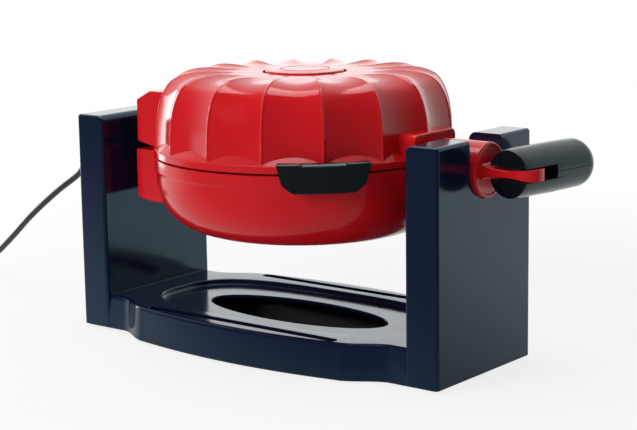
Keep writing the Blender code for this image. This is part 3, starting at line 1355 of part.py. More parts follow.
def add_lid(lid):
    """Build the lid, which opens on the hinge pin."""
    hang(lid_housing(), lid, "red_gloss")
    hang(pan("lid_pan", LID_PAN_DEPTH, 1, PAN_FLUTE_DEPTH, PAN_FLUTE_SHARES), lid, "nonstick")
    back = PARTING_HEIGHT + PAN_GAP / 2 + LID_PAN_DEPTH + PAN_THICKNESS
    hang(heater("lid_heater", back + SEAT_GAP + HEATER_TUBE_RADIUS), lid, "heater_steel")
    hang(lid_cap(), lid, "red_gloss")
    hang(lid_hinge_block(), lid, "red_gloss")
    hang(lid_hub_block(), lid, "red_gloss")


def add_handle(fold):
    """Build the folding handle."""
    hang(handle_half("handle_upper", 1), fold, "black_satin")
    hang(handle_half("handle_lower", -1), fold, "black_satin")
    hang(handle_pin(), fold, "steel")


def add_cord(root):
    """Build the cord: its free run, the coil of the rest, the tie and the plug."""
    coil = coil_points()
    print("least gap of the coil to itself: %.2f mm" % (least_self_gap(coil) * 1000))
    hang(tube("supply_cord", route_points(), CORD_RADIUS, CORD_SIDES_RESOLUTION), root, "black_matte")
    hang(tube("cord_coil", coil, CORD_RADIUS, 1), root, "black_matte")
    hang(cord_tie(), root, "black_satin")
    hang(plug_body(), root, "black_satin")
    hang(plug_pin("plug_pin_1", -1), root, "steel")
    hang(plug_pin("plug_pin_2", 1), root, "steel")


def main():
    """Build the whole cake maker."""
    clear_scene()
    root = joint_empty("stand_root", (0, 0, 0), None)
    root.location = (-object_middle_x(), 0, 0)
    flip = joint_empty("flip_axis", (MOULD_X, 0, FLIP_HEIGHT), root)
    lid = joint_empty("lid_axis", (HINGE_X, 0, HINGE_Z), flip)
    latch_axis = joint_empty("latch_axis", latch_axis_point(), flip)
    fold = joint_empty("handle_axis", (HANDLE_X, 0, FLIP_HEIGHT), flip)
    add_stand(root)
    add_lower_mould(flip)
    add_lid(lid)
    hang(latch(), latch_axis, "black_satin")
    add_handle(fold)
    add_cord(root)


main()
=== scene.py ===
"""Looks of a rotary ring-cake maker.

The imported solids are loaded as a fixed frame. Each sub-assembly is a class that holds its sizes in metres,
builds finer meshes in the places of its solids, dresses them and puts each on the body that carries it.
Shapes are worked out in the stand's own coordinates, with x = 0 halfway between the towers and z = 0 on the
table, and slide into the frame when a piece is made.
"""

import logging
import math
from collections.abc import Callable, Sequence
from dataclasses import dataclass
from enum import Enum

import bmesh
import bpy
from mathutils import Matrix, Vector


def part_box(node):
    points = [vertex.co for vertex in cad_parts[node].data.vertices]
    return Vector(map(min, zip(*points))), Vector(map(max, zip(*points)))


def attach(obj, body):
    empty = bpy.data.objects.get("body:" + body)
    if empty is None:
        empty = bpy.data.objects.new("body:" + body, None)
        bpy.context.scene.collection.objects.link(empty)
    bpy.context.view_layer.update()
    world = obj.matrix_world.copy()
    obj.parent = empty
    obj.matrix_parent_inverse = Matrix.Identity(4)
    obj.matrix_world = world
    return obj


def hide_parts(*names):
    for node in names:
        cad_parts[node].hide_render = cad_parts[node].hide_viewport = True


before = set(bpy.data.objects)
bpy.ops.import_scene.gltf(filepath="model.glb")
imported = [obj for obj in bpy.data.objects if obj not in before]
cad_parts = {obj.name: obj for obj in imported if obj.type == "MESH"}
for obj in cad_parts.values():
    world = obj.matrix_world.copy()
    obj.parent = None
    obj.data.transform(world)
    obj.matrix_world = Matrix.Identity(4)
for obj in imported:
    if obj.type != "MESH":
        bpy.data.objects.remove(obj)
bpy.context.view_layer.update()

LOG = logging.getLogger("cake_maker")
WELD = 0.000002
OVERRUN = 0.004

Pair = tuple[float, float]
Triple = tuple[float, float, float]
Socket = bpy.types.NodeSocket


@dataclass(frozen=True)
class Layout:
    """Sizes that several sub-assemblies share, in the stand's coordinates."""

    inner_face: float = 0.168
    outer_face: float = 0.200
    half_depth: float = 0.070
    tower_height: float = 0.200
    stand_wall: float = 0.003
    flip_height: float = 0.174
    mould_x: float = 0.013
    rim_radius: float = 0.133
    ridge_radius: float = 0.1308
    lid_base: float = 0.1748
    bowl_top: float = 0.1732
    flange_height: float = 0.0062
    flange_edge: float = 0.0005
    ledge_radius: float = 0.1260
    ledge_width: float = 0.0034
    ledge_rise: float = 0.00235
    hinge_x: float = -0.131
    hinge_z: float = 0.197
    hinge_half: float = 0.044
    hinge_reach: float = 0.045
    hinge_edge: float = 0.0016
    hinge_shown: float = 0.030
    knuckle_half: float = 0.0255
    knuckle_front: float = 0.0092
    hub_face: float = 0.1605
    hub_half: float = 0.030
    hub_height: float = 0.027
    hub_corner: float = 0.006
    hub_edge: float = 0.0015
    journal_radius: float = 0.010
    drum_radius: float = 0.0230
    relief_neck: float = 0.0062
    handle_x: float = 0.230
    latch_azimuth: float = math.radians(-45.5)
    latch_out: float = 0.0033
    latch_drop: float = 0.0095
    latch_eye: float = 0.0025
    trim: float = 0.0004
    seat: float = 0.0003
    running: float = 0.0004


AT = Layout()
SHIFT = Vector((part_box("stand_shell")[0][0] + AT.outer_face, 0.0, 0.0))


class Axis(Enum):
    """A main axis: the direction of radius zero degrees and the direction of travel."""

    X = (Vector((0, 1, 0)), Vector((1, 0, 0)))
    Y = (Vector((1, 0, 0)), Vector((0, 1, 0)))
    Z = (Vector((1, 0, 0)), Vector((0, 0, 1)))


class Join(Enum):
    """The ways to combine two forms."""

    UNITE = "UNION"
    CUT = "DIFFERENCE"
    SHARE = "INTERSECT"


class Work(Enum):
    """The ways to work out one number from two."""

    PRODUCT = "MULTIPLY"
    LARGER = "MAXIMUM"


class Fade(Enum):
    """The curves from one number to another."""

    STRAIGHT = "LINEAR"
    SMOOTH = "SMOOTHSTEP"


class Ray(Enum):
    """The kinds of ray that a shader tells apart."""

    CAMERA = "Is Camera Ray"
    DIFFUSE = "Is Diffuse Ray"
    GLOSSY = "Is Glossy Ray"
    TRANSMISSION = "Is Transmission Ray"


class Grain(Enum):
    """The kinds of surface that a finish can show."""

    GLOSS = "gloss"
    SATIN = "satin"
    RUBBER = "rubber"
    TURNED = "turned"
    COATED = "coated"
    SCALED = "scaled"


@dataclass(frozen=True)
class Noise:
    """A noise pattern: octaves of detail, how far it is bent, and its repeats along y beside the rest."""

    detail: float = 2.0
    bend: float = 0.0
    stretch: float = 1.0


PLAIN_GRAIN = Noise()
FINE_GRAINS = {Grain.TURNED: Noise(3.0, 0.0, 0.04), Grain.RUBBER: Noise(4.0, 0.4)}
BROAD_REPEATS, BROAD_TONE = 14.0, Noise(3.0)
SMEAR_REPEATS, SMEARS = 45.0, Noise(4.0, 0.8)
SCALE_REPEATS, SCALES = 60.0, Noise(5.0, 0.6)


@dataclass(frozen=True)
class Finish:
    """One surface finish: its colour, its gloss and the fine grain that the real one shows."""

    name: str
    slot: str
    colour: Triple
    roughness: float
    grain: Grain
    metallic: float = 0.0
    ior: float = 1.5
    tint: Triple = (1.0, 1.0, 1.0)
    grain_size: float = 0.0008
    grain_height: float = 0.00002
    tone_swing: float = 0.08
    gloss_swing: float = 0.04
    second: Triple = (0.0, 0.0, 0.0)

    def material(self) -> bpy.types.Material:
        """Give this finish's material, made and wired when it is first asked for.

        Returns:
            The Blender material.
        """
        known = bpy.data.materials.get(self.name)
        if known is None:
            known = bpy.data.materials.new(self.name)
            known.use_nodes = True
            MaterialBench(known.node_tree, self).build()
        return known

    def dress(self, item: bpy.types.Object) -> None:
        """Put this finish on every slot of an object.

        Args:
            item: The object to dress.
        """
        if not item.material_slots:
            item.data.materials.append(self.material())
        for slot in item.material_slots:
            slot.material = self.material()


class NodeBench:
    """Adds nodes to one shader tree."""

    def __init__(self, tree: bpy.types.NodeTree) -> None:
        """Keep the tree."""
        self.tree = tree

    def feed(self, target: Socket, value: object) -> None:
        """Link an input to a socket, or give it a value of its own.

        Args:
            target: The input.
            value: The socket or the value.
        """
        if isinstance(value, Socket):
            self.tree.links.new(value, target)
        else:
            target.default_value = value

    def add(self, kind: str, output: str, inputs: dict, **options: str) -> Socket:
        """Add a node.

        Args:
            kind: The node's type, without the words that all types start with.
            output: The output to read.
            inputs: A socket or a value for each input, by its name or its place.
            options: The node's own settings.

        Returns:
            The output's socket.
        """
        node = self.tree.nodes.new("ShaderNode" + kind)
        for key, option in options.items():
            setattr(node, key, option)
        for key, value in inputs.items():
            self.feed(node.inputs[key], value)
        return node.outputs[output]

    def ranged(self, value: Socket, source: Pair, target: Pair, curve: Fade = Fade.STRAIGHT) -> Socket:
        """Map a value from one range to another."""
        ends = dict(zip(("From Min", "From Max", "To Min", "To Max"), source + target))
        return self.add("MapRange", "Result", {"Value": value, **ends}, interpolation_type=curve.value)

    def worked(self, work: Work, first: Socket, second: "Socket | float") -> Socket:
        """Work out one number from two."""
        return self.add("Math", "Value", {0: first, 1: second}, operation=work.value)

    def ray(self, kind: Ray) -> Socket:
        """Tell whether a ray is of one kind."""
        return self.add("LightPath", kind.value, {})


class MaterialBench(NodeBench):
    """Wires one finish's nodes: broad tone, fine grain, gloss and relief, all on object coordinates."""

    def __init__(self, tree: bpy.types.NodeTree, finish: Finish) -> None:
        """Keep the material's tree and the finish that it shows.

        Args:
            tree: The tree, with its main shader in it.
            finish: The finish.
        """
        super().__init__(tree)
        self.finish = finish
        self.inputs = tree.nodes["Principled BSDF"].inputs
        self.place = self.add("TexCoord", "Object", {})

    def scaled(self, repeats: float, stretch: float = 1.0) -> Socket:
        """Scale the object coordinates to a number of repeats per metre."""
        scale = (repeats, repeats * stretch, repeats)
        return self.add("Mapping", "Vector", {"Vector": self.place, "Scale": scale})

    def noise(self, repeats: float, kind: Noise) -> Socket:
        """Add a noise pattern."""
        place = self.scaled(repeats, kind.stretch)
        return self.add("TexNoise", "Fac", {"Vector": place, "Scale": 1.0, "Detail": kind.detail,
                                            "Distortion": kind.bend})

    def fine_pattern(self) -> Socket:
        """Add the fine pattern of the finish's grain: small cells on a coated pan, or else noise.

        Returns:
            The pattern's socket.
        """
        fine = 1.0 / self.finish.grain_size
        if self.finish.grain is Grain.COATED:
            cells = self.add("TexVoronoi", "Distance", {"Vector": self.scaled(fine), "Scale": 1.0})
            return self.ranged(cells, (0.1, 0.8), (1.0, 0.0))
        return self.noise(fine, FINE_GRAINS.get(self.finish.grain, PLAIN_GRAIN))

    def colour(self, pattern: Socket) -> Socket:
        """Add the colour: two tones that swing about the finish's own, or specks of its second colour.

        Args:
            pattern: The fine pattern.

        Returns:
            The colour's socket.
        """
        look = self.finish
        ends = [tuple(min(1.0, part * (1 + swing)) for part in look.colour)
                for swing in (-look.tone_swing, look.tone_swing)]
        factor = self.ranged(self.noise(BROAD_REPEATS, BROAD_TONE), (0.3, 0.7), (0.0, 1.0))
        if look.grain in (Grain.COATED, Grain.SCALED):
            ends[1] = look.second
            specks = pattern if look.grain is Grain.COATED else self.noise(SCALE_REPEATS, SCALES)
            factor = self.ranged(specks, (0.45, 0.75), (0.0, 1.0))
        return self.add("Mix", "Result", {"Factor": factor, "A": (*ends[0], 1.0), "B": (*ends[1], 1.0)},
                        data_type="RGBA")

    def build(self) -> None:
        """Wire the whole material."""
        look = self.finish
        pattern = self.fine_pattern()
        smears = self.noise(SMEAR_REPEATS, SMEARS)
        gloss = (look.roughness - look.gloss_swing, look.roughness + look.gloss_swing)
        relief = {"Strength": 1.0, "Distance": look.grain_height, "Height": pattern}
        wiring = {
            "Base Color": self.colour(pattern),
            "Metallic": look.metallic,
            "IOR": look.ior,
            "Specular Tint": (*look.tint, 1.0),
            "Roughness": self.ranged(smears, (0.3, 0.7), gloss),
            "Normal": self.add("Bump", "Normal", relief),
        }
        for key, value in wiring.items():
            self.feed(self.inputs[key], value)


RED_GLOSS = Finish("gloss_red", "red_shell", (0.62, 0.0085, 0.014), 0.13, Grain.GLOSS, grain_size=0.004,
                   grain_height=0.000012, tone_swing=0.04, gloss_swing=0.03)
NAVY_GLOSS = Finish("gloss_navy", "stand_moulding", (0.0050, 0.0080, 0.030), 0.14, Grain.GLOSS, ior=1.56,
                    tint=(0.42, 0.80, 1.0), grain_size=0.004, grain_height=0.000010, tone_swing=0.10,
                    gloss_swing=0.03)
BLACK_SATIN = Finish("satin_black", "black_satin", (0.0045, 0.0065, 0.0085), 0.22, Grain.SATIN, ior=1.55,
                     tint=(0.68, 0.97, 1.0), grain_size=0.0012, tone_swing=0.15)
BLACK_MATTE = Finish("matte_black", "black_matte", (0.009, 0.009, 0.011), 0.55, Grain.SATIN,
                     grain_height=0.00006, tone_swing=0.15, gloss_swing=0.06)
CORD_SHEATH = Finish("sheath_black", "cord_sheath", (0.010, 0.010, 0.011), 0.45, Grain.RUBBER,
                     grain_size=0.0015, grain_height=0.00006, tone_swing=0.2, gloss_swing=0.06)
FOOT_RUBBER = Finish("rubber_black", "foot_rubber", (0.015, 0.015, 0.015), 0.80, Grain.RUBBER,
                     grain_size=0.0006, grain_height=0.00010, tone_swing=0.2, gloss_swing=0.08)
PAN_COATING = Finish("pan_coating", "coated_pan", (0.022, 0.022, 0.024), 0.38, Grain.COATED, metallic=0.2,
                     grain_size=0.0011, gloss_swing=0.06, second=(0.060, 0.060, 0.064))
HEATER_SHEATH = Finish("scaled_sheath", "heater_sheath", (0.20, 0.18, 0.16), 0.48, Grain.SCALED, metallic=0.9,
                       grain_size=0.0009, grain_height=0.00004, second=(0.13, 0.12, 0.15))
BRIGHT_STEEL = Finish("turned_steel", "bright_steel", (0.62, 0.62, 0.63), 0.26, Grain.TURNED, metallic=1.0,
                      grain_size=0.0005, grain_height=0.000015, tone_swing=0.05, gloss_swing=0.06)
IVORY = Finish("ivory_moulding", "ivory_plastic", (0.55, 0.52, 0.44), 0.45, Grain.SATIN,
               grain_size=0.0010, grain_height=0.00003, tone_swing=0.06, gloss_swing=0.05)
CARRIED_NODES = {
    "terminal_block": IVORY,
    "lower_heater": HEATER_SHEATH,
    "lid_heater": HEATER_SHEATH,
    "thermostat": BRIGHT_STEEL,
    "hinge_pin": BRIGHT_STEEL,
    "latch_pin": BRIGHT_STEEL,
    "handle_pin": BRIGHT_STEEL,
}


def clamped(value: float) -> float:
    """Keep a value between 0 and 1."""
    return min(1.0, max(0.0, value))


def eased(value: float) -> float:
    """Keep a value between 0 and 1, with soft ends."""
    share = clamped(value)
    return share * share * (3 - 2 * share)


def arc(centre: Pair, radius: float, start: float, end: float, steps: int) -> list[Pair]:
    """List the points of an arc from one angle in degrees to another, both ends included."""
    angles = [math.radians(start + (end - start) * index / steps) for index in range(steps + 1)]
    return [(centre[0] + radius * math.cos(a), centre[1] + radius * math.sin(a)) for a in angles]


def oval(centre: Pair, half_u: float, half_v: float, power: float, count: int) -> list[Pair]:
    """List a superellipse.

    Args:
        centre: Its centre.
        half_u: Half its length.
        half_v: Half its width.
        power: 2 for an ellipse, more for a squarer form.
        count: How many points it has.

    Returns:
        The points in order.
    """
    points = []
    for index in range(count):
        angle = 2 * math.pi * index / count
        c, s = math.cos(angle), math.sin(angle)
        points.append((centre[0] + half_u * math.copysign(abs(c) ** (2 / power), c),
                       centre[1] + half_v * math.copysign(abs(s) ** (2 / power), s)))
    return points


def obround(centre: Pair, half_length: float, radius: float, steps: int) -> list[Pair]:
    """List a slot with round ends, long along x.

    Args:
        centre: Its centre.
        half_length: Half its length.
        radius: Half its width.
        steps: How many steps each end has.

    Returns:
        The points in order.
    """
    x, y = centre
    reach = half_length - radius
    return arc((x + reach, y), radius, -90, 90, steps) + arc((x - reach, y), radius, 90, 270, steps)


def hub_outline(base: float, side: int) -> list[Pair]:
    """List a hub block's outline, flat where the two halves meet and rounded at its far corners.

    Args:
        base: The height of the flat side.
        side: 1 for a block above it, -1 for a block below it.

    Returns:
        The (y, z) points in order.
    """
    centre = (AT.hub_half - AT.hub_corner, AT.hub_height - AT.hub_corner)
    corner = arc(centre, AT.hub_corner, 0, 90, steps=8)
    points = [(AT.hub_half, 0.0), *corner]
    return [(y, base + side * z) for y, z in points + [(-y, z) for y, z in reversed(points)]]


def ribbed(root: Pair, tip: Pair, rib: Sequence[Pair], count: int = 6) -> list[Pair]:
    """List the profile of a tapering sleeve with ribs.

    Args:
        root: Its radius and place at one end.
        tip: Its radius and place at the other.
        rib: (share, depth) points of one rib and the groove after it.
        count: How many ribs it has.

    Returns:
        The (radius, travel) points in order.
    """
    points = []
    for index in range(count):
        for share, depth in rib:
            travel = (index + share) / count
            radius, place = (a + (b - a) * travel for a, b in zip(root, tip))
            points.append((radius - depth, place))
    return points


def smooth_table(rows: Sequence[Sequence[float]], steps: int) -> list[tuple[float, ...]]:
    """Run a smooth curve through a table's rows.

    Args:
        rows: The rows that the curve meets.
        steps: How many steps it takes from each row to the next.

    Returns:
        The finer rows, the first and last included.
    """
    padded = [rows[0], *rows, rows[-1]]
    finer = []
    for a, b, c, d in zip(padded, padded[1:], padded[2:], padded[3:]):
        for index in range(steps):
            t = index / steps
            finer.append(tuple(0.5 * (2 * q + (r - p) * t + (2 * p - 5 * q + 4 * r - s) * t ** 2
                                      + (3 * q - p - 3 * r + s) * t ** 3) for p, q, r, s in zip(a, b, c, d)))
    return [*finer, tuple(rows[-1])]


class Shape:
    """A closed form in work, in the stand's coordinates."""

    def __init__(self) -> None:
        """Start an empty form."""
        self.bm = bmesh.new()

    @classmethod
    def stacked(cls, rings: Sequence[Sequence[Triple]]) -> "Shape":
        """Extrude a face from ring to ring, so that the rings are skinned and both ends are closed.

        Args:
            rings: Rings of equal length.

        Returns:
            The new form.
        """
        shape = cls()
        place = shape.bm.verts.layers.int.new("place")
        verts = [shape.bm.verts.new(point) for point in rings[0]]
        for index, vert in enumerate(verts):
            vert[place] = index
        face = shape.bm.faces.new(verts)
        for ring in rings[1:]:
            grown = bmesh.ops.extrude_face_region(shape.bm, geom=[face, *face.edges, *face.verts])["geom"]
            for part in grown:
                if isinstance(part, bmesh.types.BMVert):
                    part.co = ring[part[place]]
                elif isinstance(part, bmesh.types.BMFace):
                    face = part
        return shape

    @classmethod
    def ovals(cls, half: Pair, power: float, count: int, levels: Sequence[Pair]) -> "Shape":
        """Stack ovals about the stand's middle.

        Args:
            half: Half the length and half the width of an oval with no inset.
            power: Its power, as for oval.
            count: How many points each has.
            levels: The (inset, height) of each.

        Returns:
            The new form.
        """
        rings = []
        for inset, height in levels:
            outline = oval((0.0, 0.0), half[0] - inset, half[1] - inset, power, count)
            rings.append([(x, y, height) for x, y in outline])
        return cls.stacked(rings)

    @classmethod
    def spun(cls, profile: Sequence[Pair], centre: Triple, axis: Axis, steps: int = 64) -> "Shape":
        """Turn a profile about an axis.

        Args:
            profile: Points of (radius, travel along the axis).
            centre: A point on the axis.
            axis: The axis.
            steps: How many steps a full turn has.

        Returns:
            The new form.
        """
        shape = cls()
        across, along = axis.value
        middle = Vector(centre)
        verts = [shape.bm.verts.new(middle + across * radius + along * travel) for radius, travel in profile]
        edges = [shape.bm.edges.new(pair) for pair in zip(verts, verts[1:])]
        bmesh.ops.spin(shape.bm, geom=verts + edges, cent=middle, axis=along, angle=2 * math.pi, steps=steps,
                       use_merge=True)
        return shape

    @classmethod
    def extruded(cls, outline: Sequence[Pair], low: float, high: float, axis: Axis) -> "Shape":
        """Extrude a flat outline along an axis, from its (y, z), (x, z) or (x, y) points."""
        place = list(Axis).index(axis)
        return cls.stacked([[(*point[:place], level, *point[place:]) for point in outline]
                            for level in (low, high)])

    @classmethod
    def block(cls, low: Triple, high: Triple) -> "Shape":
        """Make a box between its lowest and its highest corner."""
        outline = [(low[0], low[1]), (high[0], low[1]), (high[0], high[1]), (low[0], high[1])]
        return cls.extruded(outline, low[2], high[2], Axis.Z)

    def rounded(self, choose: Callable[[Vector, Vector], bool], width: float, segments: int = 4) -> "Shape":
        """Round the edges that a test picks.

        Args:
            choose: Told an edge's two ends, says whether it is rounded.
            width: The rounding's width.
            segments: How many faces each rounding has.

        Returns:
            This form.
        """
        edges = [edge for edge in self.bm.edges if choose(edge.verts[0].co, edge.verts[1].co)]
        bmesh.ops.bevel(self.bm, geom=edges, offset=width, offset_type="OFFSET", segments=segments,
                        profile=0.5, affect="EDGES", clamp_overlap=True, material=-1)
        return self

    def moved(self, matrix: Matrix) -> "Shape":
        """Move the form by a matrix and give it back."""
        bmesh.ops.transform(self.bm, matrix=matrix, verts=self.bm.verts)
        return self

    def tidied(self) -> "Shape":
        """Weld the form and turn its faces outwards.

        Returns:
            This form.
        """
        bmesh.ops.remove_doubles(self.bm, verts=self.bm.verts, dist=WELD)
        bmesh.ops.recalc_face_normals(self.bm, faces=self.bm.faces)
        return self

    def split_large(self, corners: int = 12) -> "Shape":
        """Split large flat faces into triangles.

        Args:
            corners: The most corners that a face keeps.

        Returns:
            This form.
        """
        large = [face for face in self.tidied().bm.faces if len(face.verts) > corners]
        bmesh.ops.triangulate(self.bm, faces=large)
        return self

    def mesh(self, name: str) -> bpy.types.Mesh:
        """Write the form to a new mesh, which uses it up.

        Args:
            name: The mesh's name.

        Returns:
            The mesh.
        """
        made = bpy.data.meshes.new(name)
        self.tidied().bm.to_mesh(made)
        self.bm.free()
        return made

    def joined(self, *others: "Shape") -> "Shape":
        """Add the faces of other forms.

        Args:
            others: The forms to add, which are used up.

        Returns:
            This form.
        """
        for other in others:
            mesh = other.mesh("joined")
            self.bm.from_mesh(mesh)
            bpy.data.meshes.remove(mesh)
        return self

    def combined(self, tool: "Shape", join: Join) -> "Shape":
        """Apply an exact Boolean of another form.

        Args:
            tool: The other form, which is used up.
            join: How the two are combined.

        Returns:
            A new form; this one is used up.
        """
        first = bpy.data.objects.new("first", self.mesh("first"))
        second = bpy.data.objects.new("second", tool.mesh("second"))
        for item in (first, second):
            bpy.context.scene.collection.objects.link(item)
        modifier = first.modifiers.new("combine", "BOOLEAN")
        modifier.operation = join.value
        modifier.solver = "EXACT"
        modifier.object = second
        graph = bpy.context.evaluated_depsgraph_get()
        result = bpy.data.meshes.new_from_object(first.evaluated_get(graph))
        for item in (first, second):
            bpy.data.objects.remove(item, do_unlink=True)
        shape = Shape()
        shape.bm.from_mesh(result)
        bpy.data.meshes.remove(result)
        return shape

    def cut(self, *tools: "Shape") -> "Shape":
        """Cut other forms out of this one.

        Args:
            tools: The forms to cut out.

        Returns:
            The form that is left.
        """
        shape = self
        for tool in tools:
            shape = shape.combined(tool, Join.CUT)
        return shape

    def piece(self, name: str, body: str, finish: Finish, *nodes: str, edge: float = 0.0,
              sharp: float = 34.0, round_from: float = 50.0) -> bpy.types.Object:
        """Finish the form as a piece of the object.

        Args:
            name: The piece's name.
            body: The body that carries it.
            finish: Its finish.
            nodes: The solids that it stands for.
            edge: The width of a fine rounding on its remaining edges, or zero.
            sharp: The angle in degrees above which an edge stays sharp.
            round_from: The angle above which an edge is finely rounded.

        Returns:
            The new object.
        """
        bmesh.ops.translate(self.bm, verts=self.bm.verts, vec=SHIFT)
        mesh = self.mesh(name)
        mesh.polygons.foreach_set("use_smooth", [True] * len(mesh.polygons))
        mesh.set_sharp_from_angle(angle=math.radians(sharp))
        mesh.materials.clear()
        item = bpy.data.objects.new(name, mesh)
        bpy.context.scene.collection.objects.link(item)
        if edge:
            bevel = item.modifiers.new("edges", "BEVEL")
            bevel.width = edge
            bevel.segments = 3
            bevel.limit_method = "ANGLE"
            bevel.angle_limit = math.radians(round_from)
            bevel.use_clamp_overlap = False
        weights = item.modifiers.new("weights", "WEIGHTED_NORMAL")
        weights.keep_sharp = True
        carry(item, body, finish, *nodes)
        return item


def carry(item: bpy.types.Object, body: str, finish: Finish, *nodes: str) -> None:
    """Dress a piece and put it on its body.

    Args:
        item: The piece.
        body: The body that carries it.
        finish: Its finish.
        nodes: The solids that it stands for.
    """
    finish.dress(item)
    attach(item, body)
    if nodes:
        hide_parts(*nodes)
    LOG.info("%s rides on %s", item.name, body)


@dataclass
class PowerCord:
    """The cord: its free run, the coil of the rest, the tie, the plug and the strain relief."""

    diameter: float = 0.006
    length: float = 1.124
    start_x: float = -0.2328
    coil_x: float = -0.565
    coil_y: float = 0.012
    coil_middle: float = 0.033
    coil_pitch: float = 0.0066
    coil_turns: float = 3.5
    turn_steps: int = 36
    tie_width: float = 0.008
    tie_wall: float = 0.0008
    tie_rounding: float = 0.0016
    tie_hole_rounding: float = 0.0010
    plug_relief: float = 0.025
    plug_root: float = 0.0062
    plug_tip: float = 0.0042
    plug_end: float = 0.0040
    plug_rib: tuple[Pair, ...] = ((0.1, 0.0), (0.6, 0.0), (0.68, 0.0008), (0.95, 0.0008))
    plug_length: float = 0.034
    plug_power: float = 3.2
    plug_sections: tuple[Triple, ...] = (
        (0.0, 0.0080, 0.66), (0.04, 0.0100, 0.78), (0.3, 0.0116, 0.96), (0.62, 0.0168, 0.98),
        (0.96, 0.0180, 0.985), (1.0, 0.0172, 0.93))
    pin_radius: float = 0.0024
    pin_length: float = 0.019
    pin_spacing: float = 0.019
    pin_seat: float = 0.004
    relief_length: float = 0.030
    relief_root: float = 0.0068
    relief_tip: float = 0.0046
    relief_rib: tuple[Pair, ...] = ((0.0, 0.0), (0.08, 0.0), (0.5, 0.0), (0.58, 0.0009), (0.9, 0.0009))
    relief_flange: float = 0.009
    flange_thickness: float = 0.0022
    flange_edges: Pair = (0.0004, 0.0005)
    route: tuple[Triple, ...] = (
        (-0.2388, 0.0000, 0.1740), (-0.2560, 0.0040, 0.1635), (-0.2740, 0.0120, 0.1420),
        (-0.2925, 0.0200, 0.1244), (-0.3215, 0.0210, 0.1060), (-0.3443, 0.0220, 0.0907),
        (-0.3720, 0.0240, 0.0710), (-0.4020, 0.0280, 0.0480), (-0.4340, 0.0330, 0.0255),
        (-0.4640, 0.0390, 0.0100), (-0.4960, 0.0450, 0.0036), (-0.5300, 0.0495, 0.0037))

    def coil_outer(self) -> float:
        """Give the radius of the coil's outermost middle line."""
        return self.coil_middle + self.coil_turns * self.coil_pitch / 4

    def coil_low(self) -> float:
        """Give the height of the coil's lower layer."""
        return self.tie_wall + AT.seat + self.diameter / 2

    def coil_point(self, turn: float) -> Triple:
        """Give a point of the coil's middle line.

        Args:
            turn: Turns from the coil's start.

        Returns:
            The point.
        """
        half = self.coil_turns / 2
        radius = self.coil_outer() - self.coil_pitch * (half - abs(turn - half))
        height = self.coil_low() + self.coil_pitch * eased((turn - half + 0.25) * 2)
        angle = math.pi / 2 + 2 * math.pi * turn
        return (self.coil_x + radius * math.cos(angle), self.coil_y + radius * math.sin(angle), height)

    def line(self) -> list[Triple]:
        """List the whole cord's middle line from the strain relief to the plug.

        Returns:
            The points in order.
        """
        steps = round(self.coil_turns * self.turn_steps)
        coil = [self.coil_point(self.coil_turns * index / steps) for index in range(steps + 1)]
        lead, tail = ((x + self.diameter, y, z) for x, y, z in (coil[0], coil[-1]))
        free = smooth_table([*self.route, lead, coil[0]], steps=4)
        return [(self.start_x, 0.0, AT.flip_height), *free[:-1], *coil, tail]

    def make_cord(self) -> bpy.types.Object:
        """Run the cord's curve.

        Returns:
            The cord's object.
        """
        curve = bpy.data.curves.new("power_cord", "CURVE")
        curve.dimensions = "3D"
        curve.bevel_depth = self.diameter / 2
        curve.bevel_resolution = 6
        curve.use_fill_caps = True
        points = self.line()
        spline = curve.splines.new("POLY")
        spline.points.add(len(points) - 1)
        for target, point in zip(spline.points, points):
            target.co = (*(Vector(point) + SHIFT), 1.0)
        spline.use_smooth = True
        item = bpy.data.objects.new("power_cord", curve)
        bpy.context.scene.collection.objects.link(item)
        carry(item, "stand", CORD_SHEATH, "supply_cord", "cord_coil")
        return item

    def make_tie(self) -> bpy.types.Object:
        """Model the tie round all the coil's turns.

        Returns:
            The tie's object.
        """
        wall, half_width = self.tie_wall, self.tie_width / 2
        clear = wall + self.diameter / 2
        left = self.coil_x - self.coil_outer() - clear
        right = self.coil_x - self.coil_outer() + self.coil_pitch * self.coil_turns / 2 + clear
        high = self.coil_low() + self.coil_pitch + self.diameter / 2 + AT.seat
        near, far = self.coil_y - half_width, self.coil_y + half_width
        band = Shape.block((left - wall, near, 0.0), (right + wall, far, high + wall))
        band.rounded(lambda a, b: abs(a.y - b.y) > half_width, self.tie_rounding, segments=5)
        hole = Shape.block((left, near - OVERRUN, wall), (right, far + OVERRUN, high))
        hole.rounded(lambda a, b: abs(a.y - b.y) > self.tie_width, self.tie_hole_rounding, segments=5)
        return band.cut(hole).piece("coil_tie", "stand", BLACK_SATIN, "cord_tie", edge=0.0002)

